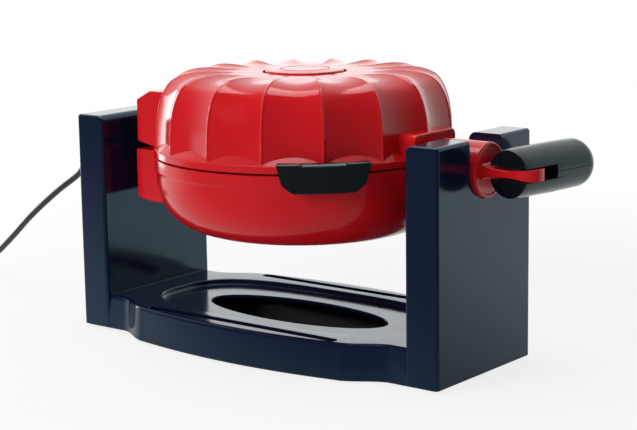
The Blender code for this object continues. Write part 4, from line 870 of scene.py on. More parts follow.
    def make_plug(self) -> list[bpy.types.Object]:
        """Model the plug's body with its ribbed relief, and its two pins.

        Returns:
            The plug's objects.
        """
        end_x, end_y, end_z = self.coil_point(self.coil_turns)
        start = end_x + self.diameter + AT.seat
        body = start + self.plug_relief
        sleeve = ribbed((self.plug_tip, start), (self.plug_root, body), self.plug_rib)
        profile = [(0.0, start), (self.plug_end, start), *sleeve,
                   (self.plug_root, body + OVERRUN), (0.0, body + OVERRUN)]
        relief = Shape.spun(profile, (0.0, end_y, end_z), Axis.X, steps=40)
        rings = []
        for share, half, height in smooth_table(self.plug_sections, steps=4):
            outline = oval((end_y, end_z), half, end_z * height, self.plug_power, count=56)
            rings.append([(body + self.plug_length * share, y, z) for y, z in outline])
        plug = Shape.stacked(rings).joined(relief)
        made = [plug.piece("plug_body", "stand", BLACK_SATIN, "mains_plug", sharp=50)]
        front, radius = body + self.plug_length, self.pin_radius
        outline = [(0.0, front - self.pin_seat), (radius, front - self.pin_seat),
                   *arc((0.0, front + self.pin_length - radius), radius, 0, 90, steps=8)]
        for index, side in enumerate((-1, 1)):
            pin = Shape.spun(outline, (0.0, end_y + side * self.pin_spacing / 2, end_z), Axis.X, steps=32)
            made.append(pin.piece(f"contact_pin_{index + 1}", "stand", BRIGHT_STEEL, f"plug_pin_{index + 1}"))
        return made

    def make_relief(self) -> bpy.types.Object:
        """Model the tapered, ribbed strain relief in the left tower.

        Returns:
            The strain relief's object.
        """
        inner = -AT.outer_face + AT.stand_wall + AT.seat
        face = -AT.outer_face - AT.seat
        flange = face - self.flange_thickness
        end = flange - self.relief_length
        wide, neck, tip = self.relief_flange, AT.relief_neck, self.relief_tip
        small, large = self.flange_edges
        profile = [(0.0, inner + self.flange_thickness), (wide, inner + self.flange_thickness), (wide, inner),
                   (neck, inner), (neck, face), (wide - small, face), (wide, face - small),
                   (wide, flange + large), (wide - large, flange)]
        profile += ribbed((self.relief_root, flange), (tip, end), self.relief_rib)
        profile += [(tip, end + small), (tip - small, end), (0.0, end)]
        shape = Shape.spun(profile, (0.0, 0.0, AT.flip_height), Axis.X, steps=48)
        return shape.piece("cord_relief", "stand", BLACK_MATTE, "strain_relief")

    def build(self) -> None:
        cord = self.make_cord()
        pieces = [self.make_tie(), *self.make_plug(), self.make_relief()]


@dataclass
class Stand:
    """The stand: two towers on a bowed deck, its bottom cover, feet and bearing."""

    base: float = 0.0026
    rebate: float = 0.0078
    rebate_inset: float = 0.0020
    crown: float = 0.007
    edge: float = 0.003
    fine_edge: float = 0.0004
    deck_height: float = 0.033
    deck_edge: float = 0.0035
    deck_overlap: float = 0.006
    panel_inset: float = 0.0005
    draft: float = 0.0025
    bulge: float = 0.019
    bow: float = 0.010
    corner_x: float = 0.108
    root_x: float = 0.152
    dish_half: Pair = (0.140, 0.066)
    dish_depth: float = 0.0052
    dish_fillet: float = 0.0025
    dish_lip: tuple[Pair, ...] = ((-0.0008, 0.0), (-0.0001, -0.0003), (0.0004, -0.0009))
    opening_half: Pair = (0.097, 0.037)
    opening_lip: tuple[Pair, ...] = (
        (0.0, -0.0012), (-0.00007, -0.0008), (-0.0003, -0.0004), (-0.0007, -0.0001), (-0.0011, 0.0))
    slot_half: float = 0.105
    slot_radius: float = 0.0045
    slot_offset: float = 0.0795
    bush_wall: float = 0.0045
    bush_length: float = 0.018
    bush_flange: Pair = (0.004, 0.0022)
    bush_chamfer: float = 0.0006
    foot_radius: float = 0.009
    foot_height: float = 0.0015
    foot_tread: float = 0.0074
    foot_rounding: float = 0.0006
    foot_places: tuple[Pair, ...] = ((-0.180, -0.050), (0.180, -0.050), (-0.180, 0.050), (0.180, 0.050))
    plate_height: float = 0.006
    plate_floor: float = 0.0025
    plate_wall: float = 0.003
    vent_x: float = 0.125
    vent_half: float = 0.020
    vent_radius: float = 0.0015
    vent_rows: tuple[float, ...] = (-0.018, -0.009, 0.0, 0.009, 0.018)

    def half_depth(self, x: float) -> float:
        """Give the deck's half depth at a place along the stand.

        Args:
            x: The place.

        Returns:
            The half depth there.
        """
        reach = abs(x)
        if reach <= self.corner_x:
            return AT.half_depth + self.bulge + self.bow * (1 - (reach / self.corner_x) ** 2)
        return AT.half_depth + self.bulge * eased((self.root_x - reach) / (self.root_x - self.corner_x))

    def edge_line(self, reach: float, inset: float) -> list[Pair]:
        """List the deck's rear edge from right to left.

        Args:
            reach: Half its length.
            inset: How far it lies inside the panels' own line.

        Returns:
            The (x, y) points.
        """
        swing = [self.root_x - (self.root_x - self.corner_x) * index / 18 for index in range(19)]
        right = [reach, *swing, *(self.corner_x * (1 - index / 14) for index in range(1, 15))]
        return [(x, self.half_depth(x) - inset) for x in right + [-x for x in reversed(right[:-1])]]

    def deck(self) -> Shape:
        """Model the deck's outside with its drafted panels and rounded upper edge.

        Returns:
            The deck.
        """
        centre = (self.draft + self.deck_edge, self.deck_height - self.deck_edge)
        levels = [(0.0, self.base), *arc(centre, self.deck_edge, 180, 90, steps=7)]
        rings = []
        for inset, height in levels:
            rear = self.edge_line(AT.inner_face + self.deck_overlap, self.panel_inset + inset)
            rings.append([(x, y, height) for x, y in rear] + [(x, -y, height) for x, y in reversed(rear)])
        return Shape.stacked(rings)

    def tower(self, side: int) -> Shape:
        """Model one tower's outside.

        Args:
            side: -1 for the left, 1 for the right.

        Returns:
            The tower.
        """
        high = AT.tower_height
        outline = [(AT.inner_face, self.base), (AT.outer_face, self.base)]
        outline += arc((AT.outer_face - self.edge, high - self.edge), self.edge, 0, 90, steps=6)
        outline += arc((AT.inner_face + self.crown, high - self.crown), self.crown, 90, 180, steps=9)
        shape = Shape.extruded([(side * x, z) for x, z in outline], -AT.half_depth, AT.half_depth, Axis.Y)

        def on_rim(a: Vector, b: Vector) -> bool:
            """Pick the edges round the front and rear faces, not the lowest ones."""
            return abs(a.y - b.y) < WELD and not (abs(a.z - self.base) < WELD and abs(b.z - self.base) < WELD)

        return shape.rounded(on_rim, self.edge, segments=5)

    def hollows(self) -> list[Shape]:
        """List the hollows in the towers and under the deck.

        Returns:
            The hollows as cutting tools.
        """
        low, wall = self.base - OVERRUN, AT.stand_wall
        depth, top = AT.half_depth - wall, AT.tower_height - wall
        near, far = AT.inner_face + wall, AT.outer_face - wall
        left = Shape.block((-far, -depth, low), (-near, depth, top))
        right = Shape.block((near, -depth, low), (far, depth, top))
        rear = self.edge_line(near + wall, self.draft + wall)
        outline = rear + [(x, -y) for x, y in reversed(rear)]
        deck = Shape.extruded(outline, low, self.deck_height - wall, Axis.Z)
        under = self.deck_height - self.dish_depth - wall
        levels = [(-wall, under), (-wall, self.deck_height)]
        backing = Shape.ovals(self.dish_half, power=3, count=96, levels=levels)
        return [left, right.cut(self.notch_tool(wall)), deck.cut(backing)]

    def notch_tool(self, wall: float = 0.0) -> Shape:
        """Model the U that the drum lies in, open upwards.

        Args:
            wall: How much larger than the notch it is.

        Returns:
            The cutting tool.
        """
        radius = AT.drum_radius + AT.running + wall
        top = AT.tower_height + OVERRUN
        outline = [(radius, top), *arc((0.0, AT.flip_height), radius, 0, -180, steps=48), (-radius, top)]
        return Shape.extruded(outline, AT.inner_face - OVERRUN, AT.outer_face + OVERRUN, Axis.X)

    def deck_cuts(self) -> list[Shape]:
        """List the dish, the oval opening and the two slots of the deck.

        Returns:
            The cutting tools.
        """
        top, fillet = self.deck_height, self.dish_fillet
        floor = top - self.dish_depth
        dish = [(inset, top + drop) for inset, drop in self.dish_lip]
        dish += arc((dish[-1][0] + fillet, floor + fillet), fillet, 180, 270, steps=6)
        mouth = [(inset, floor + drop) for inset, drop in self.opening_lip]
        mouth = [(0.0, floor - AT.stand_wall - OVERRUN), *mouth, (mouth[-1][0], top + OVERRUN)]
        dish = [(dish[0][0], top + OVERRUN), *dish]
        tools = [Shape.ovals(self.dish_half, power=3, count=144, levels=dish),
                 Shape.ovals(self.opening_half, power=2, count=128, levels=mouth)]
        for y in (-self.slot_offset, self.slot_offset):
            outline = obround((0.0, y), self.slot_half, self.slot_radius, steps=16)
            tools.append(Shape.extruded(outline, top - AT.stand_wall - OVERRUN, top + OVERRUN, Axis.Z))
        return tools

    def bush_bore(self) -> float:
        """Give the radius in which the journal turns."""
        return AT.journal_radius + AT.running

    def bores(self) -> list[Shape]:
        """List the left tower's bores for the bush and for the strain relief.

        Returns:
            The cutting tools.
        """
        inner, outer = -AT.inner_face, -AT.outer_face
        sizes = ((self.bush_bore() + self.bush_wall, inner - AT.stand_wall, inner),
                 (AT.relief_neck, outer, outer + AT.stand_wall))
        tools = []
        for radius, low, high in sizes:
            outline = arc((0.0, AT.flip_height), radius + AT.seat, 0, 352.5, steps=47)
            tools.append(Shape.extruded(outline, low - OVERRUN, high + OVERRUN, Axis.X))
        return tools

    def cover_outline(self, inset: float) -> list[Pair]:
        """List the outline of the bottom cover.

        Args:
            inset: How far it lies inside the stand's own outline.

        Returns:
            The outline's points.
        """
        radius = self.edge
        x, y = AT.outer_face - inset - radius, AT.half_depth - inset - radius
        rear = arc((x, y), radius, 0, 90, steps=6) + self.edge_line(self.root_x + radius, inset)
        rear += arc((-x, y), radius, 90, 180, steps=6)
        return rear + [(x, -y) for x, y in reversed(rear)]

    def make_shell(self) -> None:
        """Model the stand's moulding, with a rebate for the bottom cover."""
        shape = self.tower(-1).combined(self.tower(1), Join.UNITE).combined(self.deck(), Join.UNITE)
        rebate = Shape.extruded(self.cover_outline(self.rebate_inset), -OVERRUN, self.rebate, Axis.Z)
        shape = shape.cut(*self.hollows(), self.notch_tool(), *self.deck_cuts(), rebate, *self.bores())
        shape.split_large().piece("stand_moulding", "stand", NAVY_GLOSS, "stand_shell", edge=self.fine_edge,
                                  sharp=38, round_from=62)

    def make_plate(self) -> None:
        """Model the bottom cover as a tray with two rows of vents."""
        low, inset = self.foot_height, self.rebate_inset + AT.seat
        floor, top = low + self.plate_floor, low + self.plate_height
        tray = Shape.extruded(self.cover_outline(inset), low, top, Axis.Z)
        tools = [Shape.extruded(self.cover_outline(inset + self.plate_wall), floor, top + OVERRUN, Axis.Z)]
        for x in (-self.vent_x, self.vent_x):
            for y in self.vent_rows:
                vent = obround((x, y), self.vent_half, self.vent_radius, steps=6)
                tools.append(Shape.extruded(vent, -OVERRUN, floor + OVERRUN / 4, Axis.Z))
        tray.cut(*tools).split_large().piece("bottom_cover", "stand", BLACK_MATTE, "base_plate",
                                             edge=self.fine_edge, sharp=40, round_from=62)

    def make_feet(self) -> None:
        """Model the four rubber feet with rounded rims."""
        top, rounding = self.foot_height, self.foot_rounding
        centre = (self.foot_radius - rounding, rounding)
        profile = [(0.0, 0.0), (self.foot_tread, 0.0), *arc(centre, rounding, -90, 0, steps=5),
                   (self.foot_radius, top), (0.0, top)]
        for index, (x, y) in enumerate(self.foot_places):
            foot = Shape.spun(profile, (x, y, 0.0), Axis.Z, steps=48)
            foot.piece(f"foot_pad_{index + 1}", "stand", FOOT_RUBBER, f"foot_{index + 1}")

    def make_bush(self) -> None:
        """Model the flanged bush in the left tower."""
        bore, chamfer = self.bush_bore(), self.bush_chamfer
        sleeve = bore + self.bush_wall
        flange = sleeve + self.bush_flange[0]
        face = -AT.inner_face + AT.seat
        front, back = face + self.bush_flange[1], face - self.bush_length
        profile = [(bore, front - chamfer), (bore + chamfer, front), (flange - chamfer, front),
                   (flange, front - chamfer), (flange, face), (sleeve, face), (sleeve, back), (bore, back),
                   (bore, front - chamfer)]
        shape = Shape.spun(profile, (0.0, 0.0, AT.flip_height), Axis.X, steps=72)
        shape.piece("bearing_sleeve", "stand", BLACK_SATIN, "bearing_bush")

    def build(self) -> None:
        """Make the stand's pieces."""
        self.make_shell()
        self.make_plate()
        self.make_feet()
        self.make_bush()


@dataclass
class Flutes:
    """The wave of flutes round the lid and its pan, with a fine bead along each ridge."""

    count: int = 16
    softness: float = 0.03
    bead: float = 0.12
    bead_width: float = 0.042
    reaches: tuple[float, ...] = (
        0.0, 0.012, 0.025, 0.039, 0.055, 0.074, 0.10, 0.15, 0.24, 0.40, 0.56, 0.72, 0.87)

    def hollow(self, reach: float) -> float:
        """Give the depth of the flute at a place.

        Args:
            reach: How far from the ridge, 1 at the flute's middle.

        Returns:
            The depth, 1 at the flute's middle.
        """
        soft = math.hypot(reach, self.softness) - self.softness
        soft /= math.hypot(1.0, self.softness) - self.softness
        bead = self.bead * (1 - math.exp(-(reach / self.bead_width) ** 2))
        return (1 - self.bead) * (1 - (1 - soft) ** 2) + bead

    def columns(self) -> list[Pair]:
        """List (angle, hollow) pairs all round, closest together on the ridges.

        Returns:
            The angle in radians and how far into the flute it lies, from 0 to 1.
        """
        half = math.pi / self.count
        found = []
        for index in range(self.count):
            ridge = -math.pi / 2 + 2 * half * index
            found += [(ridge + half * reach, self.hollow(reach)) for reach in (*self.reaches, 1.0)]
            found += [(ridge + half * (2 - reach), self.hollow(reach))
                      for reach in reversed(self.reaches[1:])]
        return found

    def ring(self, radius: float, height: float, inward: float = 0.0, down: float = 0.0) -> list[Triple]:
        """List one ring of the fluted wall.

        Args:
            radius: The ridges' radius.
            height: The ridges' height.
            inward: How far the flutes' middles lie inside the ridges.
            down: How far they lie below them.

        Returns:
            The ring's points.
        """
        return [(AT.mould_x + (radius - inward * hollow) * math.cos(angle),
                 (radius - inward * hollow) * math.sin(angle), height - down * hollow)
                for angle, hollow in self.columns()]


@dataclass
class Pan:
    """A coated baking pan with a cone in its middle."""

    name: str
    body: str
    side: int
    depth: float
    flute_depth: float
    thickness: float = 0.0018
    gap: float = 0.0005
    radius: float = 0.118
    flange: float = 0.1256
    flange_edge: float = 0.0004
    flute_start: float = 0.08
    flute_inner: float = 0.093
    flute_fade: float = 0.02
    shares: tuple[Pair, ...] = (
        (1.000, 0.000), (0.994, 0.012), (0.988, 0.040), (0.965, 0.350), (0.905, 0.750), (0.790, 0.950),
        (0.640, 1.000), (0.480, 0.980), (0.340, 0.870), (0.240, 0.520), (0.186, 0.076), (0.180, 0.012),
        (0.1737, 0.000))

    def back(self, face: list[Pair]) -> list[Pair]:
        """List the back's profile, one sheet behind the baking face.

        Args:
            face: The face's (radius, travel) points.

        Returns:
            The back's points, as many and in the same order.
        """
        points = []
        for index, (radius, travel) in enumerate(face):
            before, after = face[max(index - 1, 0)], face[min(index + 1, len(face) - 1)]
            step = Vector((after[0] - before[0], after[1] - before[1])).normalized()
            points.append((radius + step.y * self.thickness, travel - step.x * self.thickness))
        return [(radius, self.thickness) for radius, _ in face[:2]] + points[2:]

    def build(self) -> None:
        """Model the pan: its baking face, then its back."""
        flutes = Flutes(softness=0.12, bead=0.0, reaches=(0.0, 0.05, 0.12, 0.22, 0.36, 0.52, 0.7, 0.86))
        wall = smooth_table([(self.radius * r, self.depth * d) for r, d in self.shares], steps=4)
        face = [(self.flange, 0.0), (self.flange - self.flange_edge, 0.0), *wall]
        level = AT.flip_height + self.side * self.gap / 2
        rings = []
        for radius, travel in [*reversed(face), *self.back(face)]:
            deep = clamped(travel / self.depth / self.flute_start)
            wide = clamped((radius - self.flute_inner) / self.flute_fade)
            inward = self.flute_depth * eased(deep * wide)
            rings.append(flutes.ring(radius, level + self.side * travel, inward))
        Shape.stacked(rings).piece(self.name + "_dressed", self.body, PAN_COATING, self.name, sharp=60)


@dataclass
class Lid:
    """The fluted lid with its cap, hinge block, hub block and pan."""

    height: float = 0.0725
    flute_depth: float = 0.0060
    flute_drop: float = 0.003
    skirt: tuple[float, ...] = (0.08, 0.5, 0.92, 1.0)
    recess: float = 0.037
    recess_depth: float = 0.004
    recess_foot: tuple[Pair, ...] = ((-0.0010, 0.0), (-0.0004, 0.0004), (0.0, 0.0010))
    recess_lip: tuple[Pair, ...] = ((0.0, -0.0005), (0.0008, 0.0))
    lip_share: float = 0.976
    cap_margin: float = 0.0026
    cap_height: float = 0.0058
    cap_rim: Pair = (0.0014, 0.0022)
    cap_side: float = 0.0020
    groove_share: float = 0.62
    groove: tuple[Pair, ...] = ((0.0012, 0.0), (0.0003, 0.0010), (-0.0003, 0.0010), (-0.0012, 0.0))
    cap_middle: tuple[Pair, ...] = ((0.4, 0.0003), (0.0, 0.0004))
    hinge_back: float = 0.018
    hinge_top: float = 0.0255
    hinge_low: float = 0.0248
    hinge_relief: float = 0.0035
    hinge_chamfer: Pair = (0.016, 0.0085)
    cheek_foot: float = 0.0077
    slot_drop: float = 0.023
    bridge_back: float = 0.008
    hub_setback: float = 0.0095
    hub_length: float = 0.037
    block_edge: float = 0.0003
    ridge: tuple[tuple[float, float, float, float], ...] = (
        (0.9985, 0.221, 1.00, 0.00), (0.9930, 0.400, 1.00, 0.00), (0.9790, 0.580, 1.00, 0.02),
        (0.9520, 0.735, 0.92, 0.15), (0.9060, 0.872, 0.75, 0.50), (0.8450, 0.945, 0.50, 0.85),
        (0.7570, 0.989, 0.20, 1.00), (0.6420, 1.000, 0.00, 0.90), (0.4590, 0.978, 0.00, 0.15))
    inner: tuple[Pair, ...] = ((0.936, 0.221), (0.918, 0.540), (0.865, 0.780), (0.780, 0.890), (0.640, 0.921),
                               (0.305, 0.887))

    def level(self, share: float) -> float:
        """Give a height above the table from its share of the lid's height."""
        return AT.flip_height + self.height * share

    def outside(self, offset: float = 0.0) -> list[list[Triple]]:
        """List the lid's outer rings from the flange's lower edge to the recess lip.

        Args:
            offset: How far the rings stand outside the lid's face.

        Returns:
            The rings.
        """
        flutes = Flutes()
        edge = AT.flange_edge
        rim, ridge = AT.rim_radius + offset, AT.ridge_radius + offset
        low, top = AT.lid_base - offset, AT.lid_base + AT.flange_height + offset
        flange = [(rim - edge, low), (rim, low + edge)]
        flange += [*arc((rim - edge * 2, top - edge * 2), edge * 2, 0, 90, steps=4), (ridge + edge, top)]
        rings = [flutes.ring(*point) for point in flange]
        for share in self.skirt:
            rise = self.flute_depth * share
            rings.append(flutes.ring(ridge + edge * (1 - share), top + edge * share, rise, -rise))
        for radius, height, inward, down in smooth_table(self.ridge, steps=5):
            rings.append(flutes.ring(AT.ridge_radius * radius + offset, self.level(height) + offset,
                                     self.flute_depth * inward, self.flute_drop * down))
        return rings

    def make_shell(self) -> None:
        """Model the lid as one shell, from the recess floor out and back to the ceiling."""
        flutes = Flutes()
        lip = self.level(self.lip_share)
        floor = lip - self.recess_depth
        ledge = AT.flip_height + AT.ledge_rise
        recess = [(self.recess + out, floor + rise) for out, rise in self.recess_foot]
        recess += [(self.recess + out, lip + rise) for out, rise in self.recess_lip]
        inside = [(AT.ledge_radius, AT.lid_base), (AT.ledge_radius, ledge),
                  (AT.ledge_radius - AT.ledge_width, ledge)]
        inside += [(AT.ridge_radius * radius, self.level(height)) for radius, height in self.inner]
        rings = [flutes.ring(*point) for point in recess]
        rings += [*reversed(self.outside()), *(flutes.ring(*point) for point in inside)]
        Shape.stacked(rings).piece("lid_shell", "lid", RED_GLOSS, "lid_housing", sharp=38)

    def make_cap(self) -> None:
        """Model the round cap in the recess, with its groove and shallow middle."""
        low = self.level(self.lip_share) - self.recess_depth + AT.seat
        radius, high = self.recess - self.cap_margin, low + self.cap_height
        groove = radius * self.groove_share
        rounding, drop = self.cap_rim
        profile = [(0.0, low), (radius, low), (radius, high - self.cap_side),
                   *arc((radius - rounding, high - drop), rounding, 10, 80, steps=5)]
        profile += [(groove + out, high - depth) for out, depth in self.groove]
        profile += [(groove * share, high - depth) for share, depth in self.cap_middle]
        shape = Shape.spun(profile, (AT.mould_x, 0.0, 0.0), Axis.Z, steps=96)
        shape.piece("lid_disc", "lid", RED_GLOSS, "lid_cap", sharp=50)

    def make_hinge_block(self) -> None:
        """Model the hinge block: two cheeks and a bridge over the knuckle."""
        x, z, base = AT.hinge_x, AT.hinge_z, AT.lid_base
        back, front = x - self.hinge_back, x + AT.hinge_reach
        top, low = z + self.hinge_top, z - self.hinge_low
        bridge = top - self.hinge_chamfer[1]
        outline = [(front, base), (x + AT.knuckle_front, base), (x + self.cheek_foot, low), (x, low),
                   (back, low + self.hinge_relief), (back, bridge), (back + self.hinge_chamfer[0], top),
                   (front, top)]
        shape = Shape.extruded(outline, -AT.hinge_half, AT.hinge_half, Axis.Y)
        shape.rounded(lambda a, b: min(a.x, b.x) < x + AT.hinge_shown, AT.hinge_edge)
        slot = AT.knuckle_half + AT.running
        under = Shape.block((back - OVERRUN, -slot, base - self.slot_drop), (front + OVERRUN, slot, bridge))
        behind = Shape.block((back - OVERRUN, -slot, bridge - OVERRUN),
                             (x - self.bridge_back, slot, top + OVERRUN))
        shape = shape.cut(Shape.stacked(self.outside(-AT.trim)), under, behind)
        shape.piece("lid_hinge_cheeks", "lid", RED_GLOSS, "lid_hinge_block", edge=self.block_edge, sharp=50)

    def make_hub_block(self) -> None:
        """Model the hub block above the drum's shoulder."""
        face = AT.hub_face - self.hub_setback
        shape = Shape.extruded(hub_outline(AT.lid_base, 1), face - self.hub_length, face, Axis.X)
        shape.rounded(lambda a, b: min(a.x, b.x) > face - WELD, AT.hub_edge)
        shape = shape.cut(Shape.stacked(self.outside(-AT.trim)))
        shape.piece("lid_hub_cover", "lid", RED_GLOSS, "lid_hub_block", edge=self.block_edge, sharp=50)

    def build(self) -> None:
        """Make the lid's pieces."""
        self.make_shell()
        self.make_cap()
        self.make_hinge_block()
        self.make_hub_block()
        Pan("lid_pan", "lid", 1, depth=0.0525, flute_depth=0.0042).build()


@dataclass
class Bowl:
    """The smooth lower half of the mould with its hinge block, journal, hub and lugs."""

    depth: float = 0.068
    flat_radius: float = 0.070
    roundness: float = 2.4
    rim_rounding: float = 0.0008
    band_height: float = 0.0105
    band_step: float = 0.0012
    band_lip: tuple[Pair, ...] = ((0.0, 0.0006), (-0.0003, 0.0001))
    wall: float = 0.0025
    ledge_thickness: float = 0.003
    lug_offset: float = 0.0079
    lug_width: float = 0.005
    lug_web: float = -0.00455
    hinge_back: float = 0.020
    hinge_drop: float = 0.0285
    hinge_low: float = 0.1205
    hinge_chamfer: float = 0.004
    slot_floor: float = 0.150
    knuckle_edge: float = 0.0008
    knuckle_flat: float = 0.0115
    journal_bore: float = 0.0065
    journal_end: float = -0.190
    journal_root: float = 0.005
    hub_length: float = 0.045
    drum_end: float = 0.2045
    drum_edge: float = 0.0016
    drum_foot: float = 0.0012
    drum_rim: float = 0.0026
    drum_dish: float = 0.0008
    tongue_sink: float = 0.0024
    tongue_end: float = 0.2535
    tongue_half: float = 0.0125
    tongue_root: float = 0.0065
    tongue_head: float = 0.0135
    tongue_reach: float = 0.010
    tongue: tuple[Pair, ...] = (
        (0.000, 1.00), (0.030, 0.82), (0.080, 0.68), (0.160, 0.58), (0.320, 0.48), (0.520, 0.45),
        (0.680, 0.53), (0.800, 0.69), (0.860, 0.738), (1.000, 0.738))

    def curve(self, radius: float, flat: float, bottom: float, steps: int) -> list[Pair]:
        """List the bowl's superellipse from below its band to its floor.

        Args:
            radius: Its radius at the top.
            flat: The radius of its flat floor.
            bottom: Its floor's height.
            steps: How many steps it takes.

        Returns:
            The profile's points.
        """
        top = AT.bowl_top - self.band_height - self.band_step
        points = []
        for index in range(steps + 1):
            angle = math.pi / 2 * index / steps
            points.append((flat + (radius - flat) * math.cos(angle) ** (2 / self.roundness),
                           top - (top - bottom) * math.sin(angle) ** (2 / self.roundness)))
        return points

    def outside(self, offset: float = 0.0) -> list[Pair]:
        """List the bowl's outer profile from its rim down.

        Args:
            offset: How far it stands outside the bowl's face.

        Returns:
            The profile's points.
        """
        rim, rounding = AT.rim_radius + offset, self.rim_rounding
        points = arc((rim - rounding, AT.bowl_top - rounding + offset), rounding, 80, 0, steps=4)
        points += [(rim + out, AT.bowl_top - self.band_height + rise) for out, rise in self.band_lip]
        return points + self.curve(rim - self.band_step, self.flat_radius + offset,
                                   AT.flip_height - self.depth - offset, steps=40)

    def make_shell(self) -> None:
        """Model the bowl with the ledge that carries its pan, and the latch's two lugs."""
        floor = AT.flip_height - self.depth
        ledge = AT.flip_height - AT.ledge_rise
        shelf = AT.ledge_radius - AT.ledge_width
        inside = [(AT.ledge_radius, AT.bowl_top), (AT.ledge_radius, ledge), (shelf, ledge),
                  (shelf, ledge - self.ledge_thickness)]
        inside += self.curve(AT.rim_radius - self.band_step - self.wall, self.flat_radius - self.wall / 2,
                             floor + self.wall, steps=16)
        profile = [(0.0, floor), *reversed(self.outside()), *inside, (0.0, floor + self.wall)]
        shape = Shape.spun(profile, (AT.mould_x, 0.0, 0.0), Axis.Z, steps=192)
        for offset in (-self.lug_offset, self.lug_offset):
            shape.joined(latch_ear(offset, self.lug_width, self.lug_web, 1))
        shape.piece("bowl_shell", "lower_mould", RED_GLOSS, "lower_housing", sharp=38)

    def envelope(self) -> Shape:
        """Model the bowl as a filled solid, to trim the blocks that fit on it.

        Returns:
            The cutting tool.
        """
        floor = AT.flip_height - self.depth + AT.trim
        profile = [(0.0, AT.bowl_top - AT.trim), *self.outside(-AT.trim), (0.0, floor)]
        return Shape.spun(profile, (AT.mould_x, 0.0, 0.0), Axis.Z, steps=96)

    def make_hinge_block(self) -> None:
        """Model the hinge block on the bowl, slotted for the knuckle."""
        x, low, chamfer = AT.hinge_x, self.hinge_low, self.hinge_chamfer
        back, front, top = x - self.hinge_back, x + AT.hinge_reach, AT.hinge_z - self.hinge_drop
        outline = [(front, low), (front, top), (back, top), (back, low + chamfer),
                   (back + chamfer, low + chamfer / 2), (x, low)]
        shape = Shape.extruded(outline, -AT.hinge_half, AT.hinge_half, Axis.Y)
        shape.rounded(lambda a, b: min(a.x, b.x) < x + AT.hinge_shown, AT.hinge_edge)
        slot = AT.knuckle_half + AT.seat
        shape = shape.cut(self.envelope(),
                          Shape.block((back - OVERRUN, -slot, self.slot_floor), (front, slot, top + OVERRUN)))
        shape.piece("bowl_hinge_block", "lower_mould", RED_GLOSS, "lower_hinge_block", edge=0.0003, sharp=50)

    def make_journal(self) -> None:
        """Model the knuckle of the lid hinge and the hollow shaft that turns in the bush."""
        x, z, radius, bore = AT.hinge_x, AT.hinge_z, AT.journal_radius, self.journal_bore
        back, front, low = x - radius, x + AT.knuckle_front, self.slot_floor + AT.seat
        outline = [(back, low), (front, low), (front, z - self.knuckle_flat),
                   *arc((x, z), radius, -20, 180, steps=28)]
        knuckle = Shape.extruded(outline, -AT.knuckle_half, AT.knuckle_half, Axis.Y)
        knuckle.rounded(lambda a, b: abs(a.y - b.y) < WELD, self.knuckle_edge, segments=3)
        end, root, edge = self.journal_end, back + self.journal_root, self.knuckle_edge
        profile = [(bore, end), (radius - edge, end), (radius, end + edge), (radius, root), (bore, root),
                   (bore, end)]
        shaft = Shape.spun(profile, (0.0, 0.0, AT.flip_height), Axis.X, steps=64)
        knuckle.joined(shaft).piece("journal_shaft", "lower_mould", BLACK_SATIN, "journal", sharp=50)

    def tongue_shape(self) -> Shape:
        """Model the flat tongue that carries the handle.

        Returns:
            The tongue.
        """
        root, middle = self.drum_end - self.tongue_sink, AT.flip_height
        length = self.tongue_end - self.drum_end
        upper = [(root, self.tongue_root)]
        for share, half in smooth_table(self.tongue, steps=4):
            upper.append((self.drum_end + length * share, self.tongue_root * half))
        side = [(x, middle + half) for x, half in upper] + [(x, middle - half) for x, half in reversed(upper)]
        shape = Shape.extruded(side, -self.tongue_head, self.tongue_head, Axis.Y)
        half, start = self.tongue_half, root - OVERRUN
        plan = [(start, -half), (AT.handle_x, -half),
                *arc((AT.handle_x + self.tongue_reach, 0.0), self.tongue_head, -90, 90, steps=48),
                (AT.handle_x, half), (start, half)]
        tall = self.tongue_root * 2
        return shape.combined(Shape.extruded(plan, middle - tall, middle + tall, Axis.Z), Join.SHARE)

    def drum(self) -> Shape:
        """Model the drum with its rounded rim and shallow end face.

        Returns:
            The drum.
        """
        face, end, radius = AT.hub_face, self.drum_end, AT.drum_radius
        edge, foot, dish = self.drum_edge, self.drum_foot, self.drum_dish
        rim = radius - self.drum_rim
        profile = [(0.0, face - foot), (radius - foot, face), (radius, face + foot),
                   *arc((radius - edge, end - edge), edge, 0, 90, steps=6), (rim, end),
                   (rim - dish, end - dish), (0.0, end - dish)]
        return Shape.spun(profile, (0.0, 0.0, AT.flip_height), Axis.X, steps=96)

    def make_hub(self) -> None:
        """Model the right hub: the hub block, the drum and the tongue."""
        face = AT.hub_face
        block = Shape.extruded(hub_outline(AT.bowl_top, -1), face - self.hub_length, face, Axis.X)
        block.rounded(lambda a, b: min(a.x, b.x) > face - WELD, AT.hub_edge)
        shape = block.cut(self.envelope()).joined(self.drum(), self.tongue_shape())
        shape.piece("hub_drum", "lower_mould", RED_GLOSS, "drum_hub", edge=0.0004, sharp=50)

    def build(self) -> None:
        """Make the bowl's pieces."""
        self.make_shell()
        self.make_hinge_block()
        self.make_journal()
        self.make_hub()
        Pan("lower_pan", "lower_mould", -1, depth=0.0505, flute_depth=0.0).build()


def latch_frame() -> Matrix:
    """Give the place and turn of the latch's axis under the rim.

    Returns:
        The matrix.
    """
    reach = AT.rim_radius + AT.latch_out
    axis = Vector((AT.mould_x + reach * math.cos(AT.latch_azimuth), reach * math.sin(AT.latch_azimuth),
                   AT.flip_height - AT.latch_drop))
    return Matrix.Translation(axis) @ Matrix.Rotation(AT.latch_azimuth, 4, "Z")


